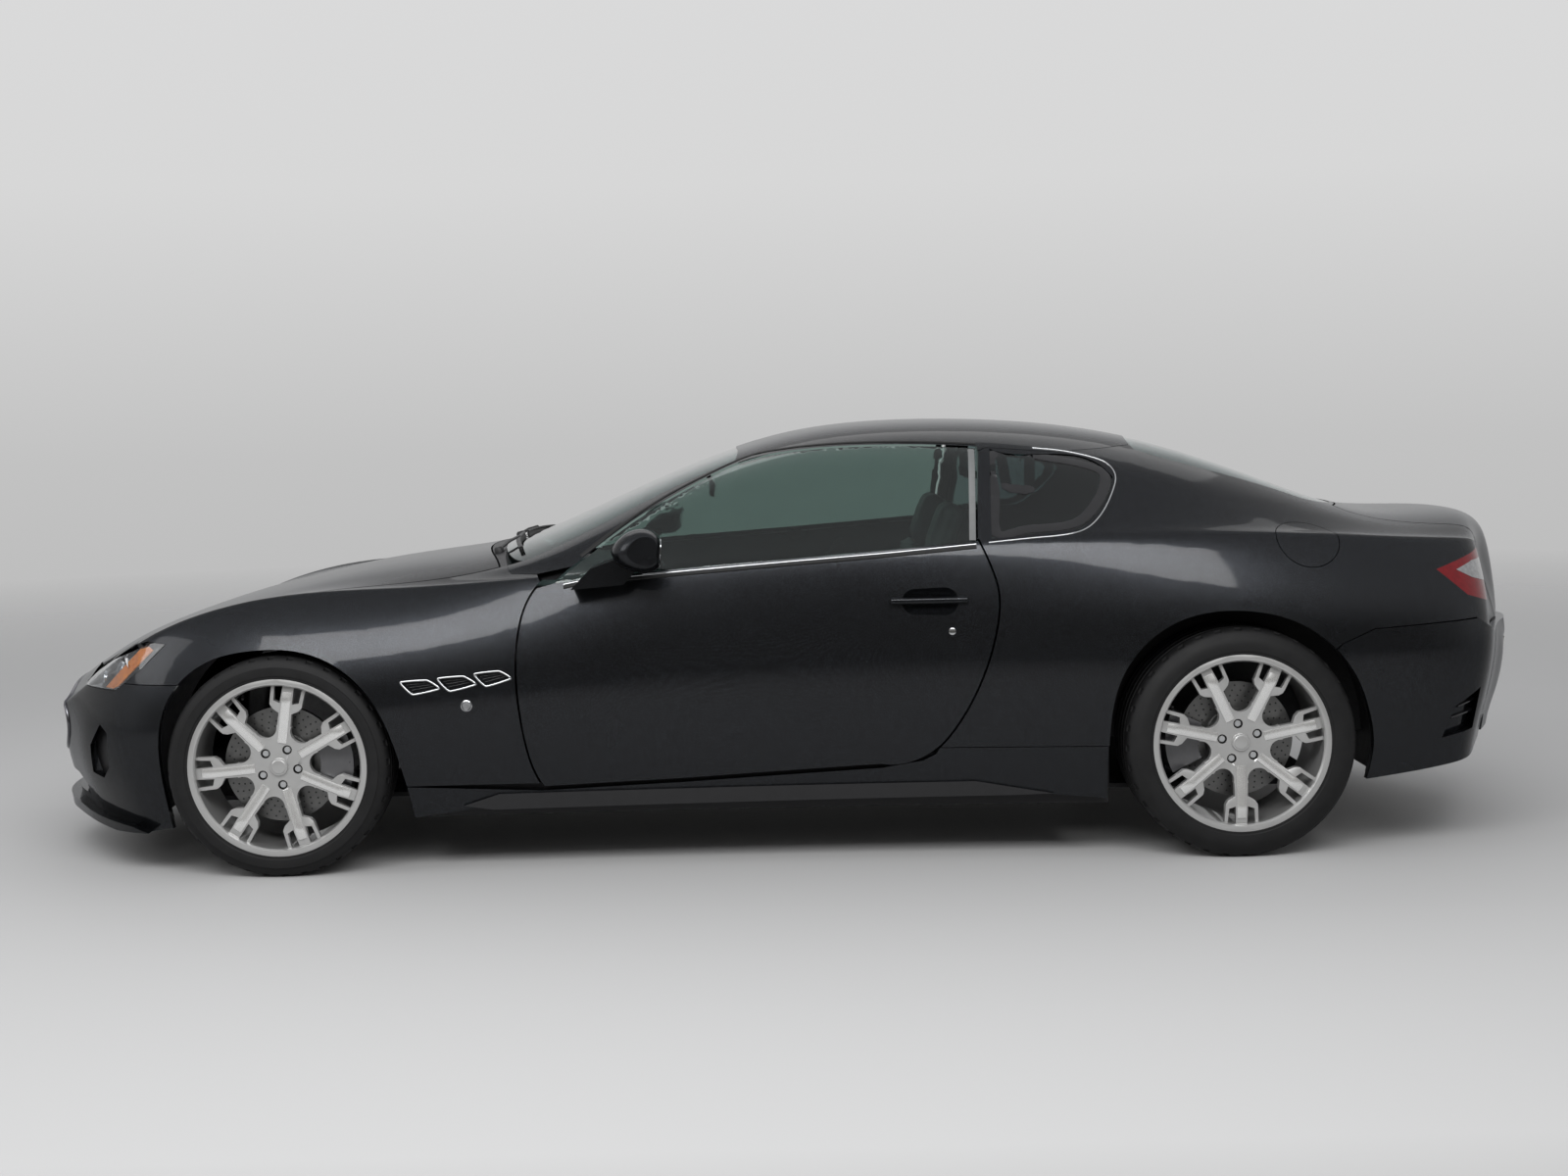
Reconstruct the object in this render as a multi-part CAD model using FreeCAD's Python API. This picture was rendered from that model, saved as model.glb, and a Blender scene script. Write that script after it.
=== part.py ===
# A two-door, four-seat coupe car on seven-spoke wheels, as separate solids.
# Frame: +X to the nose, +Y to the driver's left, +Z up; the origin is on the
# ground below the middle of the car.  Every size is in millimetres.
import FreeCAD, Part
import math
import os

os.makedirs("parts", exist_ok=True)
v = FreeCAD.Vector

# ---------------------------------------------------------------- driving sizes
WHEELBASE = 2942.0
FRONT_AXLE_X = 1570.0
REAR_AXLE_X = FRONT_AXLE_X - WHEELBASE
FRONT_TRACK = 1586.0
REAR_TRACK = 1590.0
FRONT_TYRE_D = 679.5
FRONT_TYRE_W = 245.0
REAR_TYRE_D = 707.5
REAR_TYRE_W = 285.0
BEAD_R = 262.0            # where the tyre sits on the rim
RIM_LIP_R = 272.5
SPOKES = 7
STUD_PCD = 114.3
STUDS = 5
DISC_D = 355.0

PANEL_T = 30.0            # wings, roof, bumpers, body sides
LID_T = 20.0              # bonnet and boot lid
GRILLE_T = 22.0
FRAME_T = 6.0             # inner frame below the panels
DOOR_TRIM_Y = 788.0       # flat inner face of the doors
HANDLE = (-305.0, 889.0, 809.0)      # front end of the pull handle, on the skin
BOWL_R = 55.7
GLASS_IN = 3.0            # glass lies this far below the skin
GLASS_T = 5.0
DOOR_GAP = 6.5            # shut line round a door
LID_GAP = 6.0             # shut line round a lid
SEAM = 1.2                # half the seam between two fixed panels
SEAT_GAP = 0.3            # a closed door or lid to its hinge bracket or rubber stop

FLOOR_Z = 172.0
FLOOR_T = 14.0
FRONT_WELL_R = 404.0      # wheel houses
REAR_WELL_R = 448.0
FIREWALL_X = 930.0
BULKHEAD_X = -1000.0
SHELF_Z = 905.0
BOOT_FLOOR_Z = 392.0
LINER_FOOT_Z = 234.0
TUNNEL_Y = 105.0
TUNNEL_TOP = 430.0
SKIN_FOOT_Z = 90.0        # the body surface is carried down to here, then trimmed

# ------------------------------------------------------------- body sections
# One row is one station across the left half of the body.  Columns:
# x_foot, x_side, x_crest, x_mid : its distance along the car at those points
# y_foot, z_foot        : lower edge of the side
# y_side, z_side        : widest point
# y_crest, z_crest      : wing crest or shoulder, foot of the side glass
# y_rail, z_rail        : bonnet flank, cant rail or deck flank
# z_mid                 : height on the centre line
SECTIONS = [
    (2395, 2428, 2452, 2450, 0, 170, 0, 330, 0, 425, 0, 462, 484),
    (2370, 2394, 2417, 2414, 205, 170, 240, 335, 215, 452, 120, 508, 520),
    (2282, 2315, 2345, 2362, 415, 170, 460, 345, 425, 497, 255, 548, 556),
    (2190, 2232, 2253, 2300, 585, 170, 640, 372, 582, 548, 370, 587, 596),
    (2082, 2120, 2146, 2205, 718, 170, 778, 408, 708, 618, 465, 645, 654),
    (1985, 2010, 2022, 2080, 805, 172, 866, 445, 780, 703, 525, 716, 720),
    (1850, 1868, 1868, 1900, 856, 175, 908, 482, 800, 778, 560, 776, 783),
    (1655, 1660, 1660, 1665, 874, 178, 927, 520, 792, 834, 572, 828, 845),
    (1430, 1430, 1430, 1430, 876, 180, 930, 545, 785, 858, 580, 868, 896),
    (1190, 1190, 1190, 1195, 870, 182, 918, 565, 788, 864, 590, 897, 930),
    (950, 950, 950, 990, 862, 185, 903, 582, 798, 876, 640, 918, 956),
    (740, 740, 740, 810, 856, 188, 897, 594, 822, 890, 690, 958, 1006),
    (500, 500, 500, 560, 851, 190, 891, 604, 842, 905, 672, 1064, 1114),
    (230, 230, 230, 270, 849, 192, 889, 614, 851, 924, 638, 1194, 1232),
    (-50, -50, -50, -30, 851, 195, 889, 626, 856, 941, 612, 1268, 1320),
    (-350, -350, -350, -350, 859, 198, 896, 640, 861, 958, 598, 1290, 1350),
    (-680, -680, -680, -680, 874, 200, 914, 652, 867, 975, 590, 1280, 1345),
    (-990, -990, -990, -990, 895, 200, 940, 662, 872, 984, 573, 1240, 1314),
    (-1290, -1290, -1290, -1290, 905, 205, 955, 668, 866, 985, 556, 1174, 1246),
    (-1570, -1570, -1570, -1580, 895, 212, 952, 672, 845, 977, 556, 1092, 1141),
    (-1830, -1830, -1830, -1845, 870, 222, 929, 674, 806, 962, 562, 1012, 1044),
    (-2030, -2020, -2020, -2050, 820, 235, 884, 668, 752, 950, 552, 990, 1023),
    (-2106, -2142, -2136, -2190, 742, 250, 812, 655, 690, 940, 498, 986, 1021),
    (-2154, -2200, -2190, -2264, 620, 262, 702, 640, 590, 916, 420, 964, 1014),
    (-2208, -2256, -2236, -2338, 470, 270, 530, 618, 440, 860, 300, 920, 984),
    (-2270, -2320, -2312, -2392, 300, 275, 340, 570, 300, 756, 200, 826, 905),
    (-2320, -2378, -2366, -2420, 150, 275, 165, 520, 150, 640, 100, 700, 785),
    (-2350, -2410, -2428, -2436, 0, 275, 0, 480, 0, 560, 0, 590, 630),
]
# Extra width and length of the rear bumper below its step: share of it at each station
BUMPER_PROUD = 25.0
BUMPER_SHARE = {20: 0.2, 21: 0.45, 22: 0.7, 23: 0.85, 24: 1.0, 25: 1.0, 26: 1.0, 27: 1.0}
# How far each line along the body lies between two named points of the section:
# (first point, second point, share along, share across, share up)
FOOT, SIDE, CREST, RAIL, MID = range(5)
LINES = [
    (FOOT, FOOT, 0, 0, 0),
    (FOOT, SIDE, 0.60, 0.72, 0.50),
    (SIDE, SIDE, 0, 0, 0),
    (SIDE, CREST, 0.40, 0.35, 0.58),
    (CREST, CREST, 0, 0, 0),
    (CREST, RAIL, 0.20, 0.14, 0.12),
    (CREST, RAIL, 0.55, 0.58, 0.60),
    (RAIL, RAIL, 0, 0, 0),
    (RAIL, MID, 0.90, 0.42, 0.78),
    (MID, MID, 0, 0, 0),
]


def section_points(row):
    xf, xs, xc, xm, yf, zf, yside, zside, ycrest, zcrest, yrail, zrail, zmid = row
    named = [
        v(xf, yf, zf),
        v(xs, yside, zside),
        v(xc, ycrest, zcrest),
        v(xc * 0.4 + xm * 0.6, yrail, zrail),
        v(xm, 0, zmid),
    ]
    points = [v(xf, yf * 0.965, SKIN_FOOT_Z)]
    for first, second, along, across, up in LINES:
        a, b = named[first], named[second]
        points.append(v(a.x + (b.x - a.x) * along,
                        a.y + (b.y - a.y) * across,
                        a.z + (b.z - a.z) * up))
    return points


def inward(grid, depth):
    # the same grid, moved into the body along its normals
    n, m = len(grid), len(grid[0])
    moved = []
    for i in range(n):
        line = []
        for j in range(m):
            a, b = grid[max(i - 1, 0)][j], grid[min(i + 1, n - 1)][j]
            reach = 2 if 2 <= j <= m - 3 else 1
            c, d = grid[i][max(j - reach, 0)], grid[i][min(j + reach, m - 1)]
            if j == m - 1:
                d = v(c.x, -c.y, c.z)
            normal = (b - a).cross(d - c)
            if i in (0, n - 1):
                normal = v(1 if i == 0 else -1, 0, 0)
            heart = v(max(min(grid[i][j].x, 1900), -1900), 0, 450)
            if normal.dot(grid[i][j] - heart) < 0:
                normal = normal * -1
            if j == 0:
                normal.z = 0
            if j == m - 1:
                normal.y = 0
            normal.normalize()
            line.append(grid[i][j] - normal * depth)
        moved.append(line)
    return moved


def poles_through(grid):
    # control points whose cubic surface passes (very nearly) through the grid
    n, m = len(grid), len(grid[0])
    first = [[grid[i][j] for j in range(m)] for i in range(n)]
    for i in range(1, n - 1):
        for j in range(m):
            bend = grid[i - 1][j] - grid[i][j] * 2 + grid[i + 1][j]
            first[i][j] = grid[i][j] - bend * (1 / 6.0)
    poles = [list(line) for line in first]
    for i in range(n):
        for j in range(1, m - 1):
            bend = first[i][j - 1] - first[i][j] * 2 + first[i][j + 1]
            poles[i][j] = first[i][j] - bend * (1 / 6.0)
    # square across the centre plane, flat at the foot
    for i in range(n):
        poles[i][0] = v(poles[i][0].x, poles[i][0].y, SKIN_FOOT_Z)
        edge = poles[i][m - 1]
        poles[i][m - 1] = v(edge.x, 0, edge.z)
        poles[i][m - 2] = v(edge.x, poles[i][m - 2].y, edge.z)
    for end, near in ((0, 1), (n - 1, n - 2)):
        for j in range(m):
            tip = poles[end][j]
            poles[end][j] = v(tip.x, 0, tip.z)
            poles[near][j] = v(tip.x, poles[near][j].y, tip.z)
    return poles


def clamped(n):
    return list(range(n - 2)), [4] + [1] * (n - 4) + [4]


def body_half(depth, proud=0.0):
    # solid left half of the body, its surface moved in by depth; proud swells its tail
    grid = [section_points(row) for row in SECTIONS]
    if depth:
        grid = inward(grid, depth)
    if proud:
        for i, share in BUMPER_SHARE.items():
            for j in range(len(grid[i])):
                out = v(grid[i][j].x + 1900, grid[i][j].y, 0)
                out.normalize()
                grid[i][j] = grid[i][j] + out * (proud * share)
    poles = poles_through(grid)
    uk, um = clamped(len(poles))
    vk, vm = clamped(len(poles[0]))
    skin = Part.BSplineSurface()
    skin.buildFromPolesMultsKnots(poles, um, vm, uk, vk, False, False, 3, 3)
    u0, u1, v0, v1 = skin.bounds()
    foot = skin.vIso(v0).toShape()
    top = skin.vIso(v1).toShape()
    nose = skin.uIso(u0).toShape()
    tail = skin.uIso(u1).toShape()
    keel = Part.makeLine(tail.valueAt(tail.FirstParameter), nose.valueAt(nose.FirstParameter))
    under = Part.Face(Part.Wire(Part.__sortEdges__([foot, keel])))
    middle = Part.Face(Part.Wire(Part.__sortEdges__([nose, top, tail, keel])))
    solid = Part.makeSolid(Part.makeShell([skin.toShape(), under, middle]))
    if solid.Volume < 0:
        solid.reverse()
    return solid


# ---------------------------------------------------------------- small helpers
def mirrored(shape):
    return shape.mirror(v(0, 0, 0), v(0, 1, 0))


def whole(half):
    # a half and its mirror image as one shape, joined on the centre plane
    return half.fuse(mirrored(half))


def both(shape):
    # two separate pieces, left and right
    return Part.makeCompound([shape, mirrored(shape)])


def grown(points, d):
    # closed outline moved outwards by d (inwards when negative)
    n = len(points)
    area = sum(points[i][0] * points[(i + 1) % n][1] - points[(i + 1) % n][0] * points[i][1]
               for i in range(n))
    turn = 1.0 if area > 0 else -1.0
    out = []
    for i in range(n):
        p, a, b = points[i], points[i - 1], points[(i + 1) % n]
        e1 = (p[0] - a[0], p[1] - a[1])
        e2 = (b[0] - p[0], b[1] - p[1])
        l1, l2 = math.hypot(*e1), math.hypot(*e2)
        n1 = (turn * e1[1] / l1, -turn * e1[0] / l1)
        n2 = (turn * e2[1] / l2, -turn * e2[0] / l2)
        k = max(1 + n1[0] * n2[0] + n1[1] * n2[1], 0.35)
        out.append((p[0] + d * (n1[0] + n2[0]) / k, p[1] + d * (n1[1] + n2[1]) / k))
    return out


def face_of(points, corners, place):
    # outline with smooth runs between the numbered corners; place(a, b) -> vector
    n = len(points)
    edges = []
    for k, start in enumerate(corners):
        stop = corners[(k + 1) % len(corners)]
        run = [start]
        while run[-1] != stop or len(run) == 1:
            run.append((run[-1] + 1) % n)
        spots = [place(*points[i]) for i in run]
        if len(spots) == 2:
            edges.append(Part.makeLine(spots[0], spots[1]))
        else:
            curve = Part.BSplineCurve()
            curve.interpolate(spots)
            edges.append(curve.toShape())
    return Part.Face(Part.Wire(edges))


def side_prism(points, corners=None, y0=0.0, y1=1100.0):
    # outline in X-Z carried across the car
    corners = list(range(len(points))) if corners is None else corners
    return face_of(points, corners, lambda a, b: v(a, y0, b)).extrude(v(0, y1 - y0, 0))


def plan_prism(points, corners=None, z0=60.0, z1=1500.0):
    # outline in X-Y carried upwards
    corners = list(range(len(points))) if corners is None else corners
    return face_of(points, corners, lambda a, b: v(a, b, z0)).extrude(v(0, 0, z1 - z0))


def front_prism(points, corners=None, x0=1900.0, x1=2600.0):
    # outline in Y-Z carried along the car
    corners = list(range(len(points))) if corners is None else corners
    return face_of(points, corners, lambda a, b: v(x0, a, b)).extrude(v(x1 - x0, 0, 0))


def two_sided(points):
    # half outline from one centre-line point to the other, completed by its mirror image
    return [(-a, b) for a, b in points[-2:0:-1]] + points


def grown_half(points, d):
    # a half outline moved outwards, its ends kept on the centre line
    moved = grown(two_sided(points), d)[len(points) - 2:]
    return [(0, moved[0][1])] + moved[1:-1] + [(0, moved[-1][1])]


def box(x0, x1, y0, y1, z0, z1):
    return Part.makeBox(x1 - x0, y1 - y0, z1 - z0, v(x0, y0, z0))


def rod(a, b, r):
    return Part.makeCylinder(r, (b - a).Length, a, b - a)


def turned(profile, steps=None):
    # closed (radius, y) outline turned about the Y axis
    wire = Part.makePolygon([v(r, y, 0) for r, y in profile] + [v(profile[0][0], profile[0][1], 0)])
    return Part.Face(wire).revolve(v(0, 0, 0), v(0, 1, 0), 360)


def rounded_box(x0, x1, y0, y1, z0, z1, r):
    b = box(x0, x1, y0, y1, z0, z1)
    return b.makeFillet(r, b.Edges)


def biggest(shape):
    return max(shape.Solids, key=lambda s: s.Volume)


def save(name, shape, keep=200.0):
    solids = [s for s in shape.Solids if s.Volume > keep]
    out = solids[0] if len(solids) == 1 else Part.makeCompound(solids)
    out.exportStep("parts/%s.step" % name)


# ------------------------------------------------------------------- outlines
# side view, X-Z
DOOR = [(764, 256), (790, 305), (821, 426), (837, 577), (830, 726), (810, 808), (762, 882),
        (708, 884), (313, 922), (14, 942), (-286, 963), (-583, 986),
        (-616, 908), (-638, 828), (-631, 724), (-575, 545), (-499, 411), (-453, 358), (-400, 322),
        (-272, 303), (327, 272)]
DOOR_CORNERS = [0, 6, 7, 11, 19, 20]
DOOR_GLASS = [(724, 877), (313, 910), (14, 930), (-286, 951), (-576, 974), (-602, 1264),
              (-452, 1273), (-300, 1276), (-147, 1273), (5, 1260), (128, 1235), (313, 1153),
              (436, 1085), (623, 956)]
DOOR_GLASS_CORNERS = [0, 4, 5]
QUARTER_GLASS = [(-622, 990), (-735, 999), (-893, 1014), (-984, 1086), (-1023, 1164),
                 (-979, 1209), (-852, 1239), (-642, 1260)]
QUARTER_GLASS_CORNERS = [0, 2, 4, 7]
FRONT_ARCH = [(1905, 60), (1924, 240), (1932, 345), (1930, 440), (1900, 550), (1837, 628),
              (1758, 674), (1655, 696), (1535, 698), (1412, 664), (1308, 585), (1238, 470),
              (1199, 346), (1172, 230), (1150, 60)]
REAR_ARCH = [(-968, 60), (-968, 355), (-975, 450), (-1000, 552), (-1062, 650), (-1150, 720),
             (-1262, 757), (-1390, 760), (-1520, 730), (-1638, 655), (-1718, 555), (-1763, 440),
             (-1780, 330), (-1775, 283), (-1733, 60)]
ARCH_CORNERS = [0, 14]
SKIRT = [(1166, 168), (924, 200), (-688, 212), (-962, 186), (-966, 352), (-451, 354),
         (-440, 335), (-400, 315), (-272, 294), (327, 263), (767, 247), (1198, 270)]
FUEL_FLAP = (-1592, 840, 967)      # centre on the skin
FUEL_FLAP_R = 100.0
FLAP_AXIS = (-0.02, 0.74, 0.672)
TAIL_LAMP = [(-1993, 866), (-2092, 785), (-2186, 757), (-2330, 752), (-2480, 752),
             (-2480, 925), (-2300, 925), (-2182, 921)]
HEADLAMP = [(2266, 574), (2083, 573), (1992, 640), (1911, 718), (1977, 726), (2053, 704),
            (2140, 652), (2268, 602)]
BUMPER_CUT = [(2086, 596), (1867, 596)]
UNDER_TAIL = [(-1600, 60), (-1600, 236), (-1926, 256), (-2092, 282), (-2200, 296), (-2600, 310), (-2600, 60)]
UNDER_NOSE = [(1860, 60), (1860, 176), (2600, 176), (2600, 60)]
# plan, X-Y (left half)
WINDSCREEN = [(938, -40), (938, 0), (930, 200), (905, 420), (868, 600), (838, 668), (812, 694),
              (640, 664), (480, 630), (310, 596), (190, 568), (158, 548), (152, 400),
              (156, 200), (160, 0), (160, -40)]
WINDSCREEN_CORNERS = [0, 1, 6, 11, 14, 15]
REAR_SCREEN = [(-1832, -40), (-1832, 0), (-1818, 200), (-1775, 372), (-1712, 474), (-1650, 506),
               (-1400, 500), (-1180, 494), (-1122, 478), (-1120, 300), (-1138, 150), (-1144, 0),
               (-1144, -40)]
REAR_SCREEN_CORNERS = [0, 1, 5, 8, 11, 12]
BONNET = [(990, -40), (990, 0), (975, 250), (940, 480), (908, 640), (900, 684), (1200, 694),
          (1500, 692), (1800, 672), (2000, 628), (2130, 556), (2215, 450), (2262, 300),
          (2282, 150), (2288, 0), (2288, -40)]
BONNET_CORNERS = [0, 1, 5, 14, 15]
BOOT = [(-1846, -40), (-1846, 0), (-1836, 180), (-1802, 350), (-1770, 450), (-1800, 500),
        (-1950, 540), (-2100, 540), (-2230, 500), (-2290, 470), (-2600, 470), (-2600, -40)]
BOOT_CORNERS = [0, 1, 4, 9, 10, 11]
BOOT_FOOT_Z = 652.0
# the wells below the lids, in the inner frame
BONNET_WELL = [(1032, -40), (1032, 0), (1016, 260), (986, 470), (956, 640), (1200, 652), (1500, 650),
               (1790, 630), (1975, 590), (2085, 530), (2170, 420), (2218, 290), (2236, 150), (2242, 0), (2242, -40)]
BONNET_WELL_CORNERS = [0, 1, 4, 13, 14]
BOOT_WELL = [(-1890, -40), (-1890, 0), (-1880, 200), (-1850, 370), (-1836, 446), (-1960, 500), (-2100, 500),
             (-2215, 462), (-2275, 432), (-2600, 428), (-2600, -40)]
BOOT_WELL_CORNERS = [0, 1, 4, 8, 9, 10]
# front view, Y-Z
GRILLE = [(0, 318), (180, 322), (320, 344), (398, 392), (412, 440), (380, 488), (270, 530),
          (130, 546), (0, 550)]
LOWER_INTAKE = [(0, 200), (470, 200), (500, 240), (430, 268), (0, 268)]
CORNER_INTAKE = [(2200, 392), (2150, 464), (2120, 440), (2122, 330), (2154, 290), (2204, 300)]
CORNER_Y = 636.0
# shallow recesses: side vents behind the front wheel, rear corner vents, rear plate
SIDE_VENTS = [[(1182, 593), (1106, 596), (1073, 574), (1149, 560)],
              [(1070, 601), (996, 605), (963, 584), (1038, 567)],
              [(959, 612), (888, 618), (857, 599), (928, 579)]]
CORNER_VENT = [(-2001, 348), (-2040, 445), (-2137, 497), (-2117, 367)]
PLATE = [(0, 422), (190, 422), (190, 588), (0, 588)]
RECESS = 12.0
TIP_Y = 396.0
TIP_Z = 298.0
TIP_R = 46.0
TIP_END_X = -2238.0
# hinge brackets on the front pillar, lowest and highest z; rubber stops below the lids, x and y
HINGE_Z = [(392, 452), (642, 702)]
BONNET_STOPS = [(1030, 500), (1720, 646), (2060, 556)]
BOOT_STOPS = [(-1868, 330), (-2140, 506)]
STOP_R = 11.0
# lower ball joint of the front uprights
STEER_Y = 750.0
BALL_Z = 236.0
BALL_R = 24.0

# ------------------------------------------------------------------ body solids
skin = body_half(0)
below_panel = body_half(PANEL_T)
below_frame = body_half(PANEL_T + FRAME_T)
below_lid = body_half(LID_T)
below_recess = body_half(RECESS)
glass_top = body_half(GLASS_IN)
glass_foot = body_half(GLASS_IN + GLASS_T)

panel_shell = skin.cut(below_panel)
frame_shell = below_panel.cut(below_frame)
glass_shell = glass_top.cut(glass_foot)

door_hole = side_prism(grown(DOOR, DOOR_GAP / 2), DOOR_CORNERS, 300)
door_glass_hole = side_prism(grown(DOOR_GLASS, DOOR_GAP / 2), DOOR_GLASS_CORNERS, 300)
quarter_hole = side_prism(QUARTER_GLASS, QUARTER_GLASS_CORNERS, 300)
windscreen_hole = plan_prism(WINDSCREEN, WINDSCREEN_CORNERS, 820)
rear_screen_hole = plan_prism(REAR_SCREEN, REAR_SCREEN_CORNERS, 900)
bonnet_hole = plan_prism(grown(BONNET, LID_GAP / 2), BONNET_CORNERS, 520)
boot_hole = plan_prism(grown(BOOT, LID_GAP / 2), BOOT_CORNERS, BOOT_FOOT_Z - LID_GAP / 2)
front_arch = side_prism(FRONT_ARCH, ARCH_CORNERS, 480)
rear_arch = side_prism(REAR_ARCH, ARCH_CORNERS, 480)
headlamp_hole = side_prism(HEADLAMP, None, 520)
tail_lamp_hole = side_prism(TAIL_LAMP, None, 476)
flap_low = v(*FUEL_FLAP) - v(*FLAP_AXIS) * 90
flap_high = v(*FUEL_FLAP) + v(*FLAP_AXIS) * 90
flap_hole = rod(flap_low, flap_high, FUEL_FLAP_R)
flap_core = rod(flap_low, flap_high, FUEL_FLAP_R - 2.5)

openings = [door_hole, door_glass_hole, quarter_hole, windscreen_hole, rear_screen_hole,
            bonnet_hole, boot_hole, front_arch, rear_arch, headlamp_hole, tail_lamp_hole]


def panel(region, extra=()):
    part = panel_shell.common(region)
    for hole in openings:
        part = part.cut(hole)
    for hole in extra:
        part = part.cut(hole)
    return part


# ---- fixed panels
s = SEAM
cowl_region = plan_prism([(1012, -5), (1012, 690), (806, 690), (806, -5)])
front_region = side_prism([(1860, 146), (1867 + s, 597 - s), (2086, 597 - s), (2094, 572),
                           (2240, 572), (2240, 900), (2700, 900), (2700, 118), (2300, 112), (2050, 118),
                           (1930, 146)], None, 0)
front_bumper = panel(front_region)
grille_hole = front_prism(two_sided(GRILLE), None, 2180)
front_bumper_whole = whole(front_bumper).cut(grille_hole)
lower = front_prism(two_sided(LOWER_INTAKE), None, 2180)
front_bumper_whole = front_bumper_whole.cut(lower)
corner = side_prism(CORNER_INTAKE, None, CORNER_Y)
front_bumper_whole = front_bumper_whole.cut(corner).cut(mirrored(corner))
save("front_bumper", front_bumper_whole, 20000)

wing_region = side_prism([(1867, 597 + s), (2086 + 2, 597 + s), (2094, 572), (2240, 572), (2240, 900), (1500, 960),
                          (905, 960), (858, 905), (775, 905), (764 - 60, 800), (700, 268 + s), (1198, 270 + s),
                          (1176, 168), (1900, 60)], None, 560)
wing = biggest(panel(wing_region, [cowl_region]))
for outline in SIDE_VENTS:
    wing = wing.cut(side_prism(outline, None, 700).cut(below_recess))
save("wings", both(wing))

skirt = panel_shell.common(side_prism(grown(SKIRT, -s), None, 600)).cut(front_arch).cut(rear_arch)
save("side_skirts", both(biggest(skirt)))

roof_region = side_prism([(905, 960 + s), (905, 1500), (-1146, 1500), (-1146, 1262), (-1000, 1252), (-850, 1246),
                          (-632, 1264), (-400, 1180), (300, 1000), (775, 905 + s), (858, 905 + s)], None, 0)
roof = whole(biggest(panel(roof_region, [cowl_region])))
save("roof", roof)

quarter_region = side_prism([(-1000, 1252 - s), (-1146 - s, 1262 - s), (-1146 - s, 1500), (-1900, 1500), (-2700, 1100),
                             (-2700, 640 + s), (-2230, 652 + s), (-2160, 690 + s), (-2120, 714 + s), (-1950, 706 + s),
                             (-1775, 697 + s), (-1676, 655 + s), (-1640, 628 + s), (-1600, 500), (-1300, 300), (-960, 352 + s), (-451, 354 + s), (-440, 335 + s), (-400, 322),
                             (-500, 700), (-560, 900), (-606, 1253 - s), (-632, 1264 - s), (-850, 1246 - s)], None, 0)
quarter = biggest(panel(quarter_region))
save("body_sides", Part.makeCompound([biggest(quarter.cut(flap_hole)), mirrored(quarter)]))

rear_region = side_prism([(-1650, 628), (-1676, 655 - s), (-1775, 697 - s), (-1950, 706 - s), (-2120, 714 - s),
                          (-2160, 690), (-2230, 652), (-2700, 640), (-2700, 300),
                          (-2380, 296), (-2200, 284), (-2092, 270), (-1926, 248), (-1745, 226), (-1700, 222)], None, 0)
rear_half = body_half(0, BUMPER_PROUD).common(rear_region).cut(below_panel).cut(rear_arch).cut(tail_lamp_hole)
rear_half = rear_half.cut(side_prism(CORNER_VENT, None, 500).cut(below_recess))
rear_half = rear_half.cut(front_prism(PLATE, None, -2600, -2000).cut(below_recess))
tip_room = rod(v(-2600, TIP_Y, TIP_Z), v(-2100, TIP_Y, TIP_Z), TIP_R + 7)
rear_half = rear_half.cut(tip_room.fuse(box(-2600, -2100, TIP_Y - TIP_R - 7, TIP_Y + TIP_R + 7, 150, TIP_Z)))
rear_bumper = whole(biggest(rear_half))
save("rear_bumper", rear_bumper)

cowl = panel_shell.common(cowl_region.common(box(700, 1100, -5, 690 - s, 700, 1200)))
cowl = whole(biggest(cowl.cut(bonnet_hole).cut(windscreen_hole).cut(roof_region)))
save("cowl", cowl)

# ---- glass
save("windscreen", whole(glass_shell.common(windscreen_hole)))
save("rear_window", whole(glass_shell.common(rear_screen_hole)))
save("quarter_windows", both(glass_shell.common(quarter_hole)))

# ---- doors
door_outline = grown(DOOR, -DOOR_GAP / 2)
door = skin.common(side_prism(door_outline, DOOR_CORNERS, DOOR_TRIM_Y))
rebate = side_prism(door_outline, DOOR_CORNERS, DOOR_TRIM_Y - 5, DOOR_TRIM_Y + 42)
rebate = rebate.cut(side_prism(grown(DOOR, -DOOR_GAP / 2 - 16), DOOR_CORNERS, DOOR_TRIM_Y - 6, DOOR_TRIM_Y + 43))
door = biggest(door.cut(rebate))
# bowl behind the pull handle
bowl_a, bowl_b = v(HANDLE[0] - 75, HANDLE[1] + 38, HANDLE[2]), v(HANDLE[0] - 165, HANDLE[1] + 38, HANDLE[2])
bowl = rod(bowl_a, bowl_b, BOWL_R)
bowl = bowl.fuse(Part.makeSphere(BOWL_R, bowl_a)).fuse(Part.makeSphere(BOWL_R, bowl_b))
door = door.cut(bowl)
door_glass = glass_shell.common(side_prism(grown(DOOR_GLASS, -DOOR_GAP / 2), DOOR_GLASS_CORNERS, 300))
door_glass = biggest(door_glass.cut(door))
for side, make in (("left", lambda q: q), ("right", mirrored)):
    save("door_" + side, make(door))
    save("door_glass_" + side, make(door_glass))

# ---- lids
bonnet = skin.cut(below_lid).common(plan_prism(grown(BONNET, -LID_GAP / 2), BONNET_CORNERS, 520))
save("bonnet", whole(biggest(bonnet)))
boot = skin.cut(below_lid).common(plan_prism(grown(BOOT, -LID_GAP / 2), BOOT_CORNERS, BOOT_FOOT_Z + LID_GAP / 2))
save("boot_lid", whole(biggest(boot)))

# ---- lamps and flap
save("headlamps", both(biggest(panel_shell.common(headlamp_hole).cut(bonnet_hole))))
save("tail_lamps", both(biggest(panel_shell.common(tail_lamp_hole).cut(boot_hole))))
flap = panel_shell.common(flap_core)
save("fuel_flap", biggest(flap))

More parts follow.
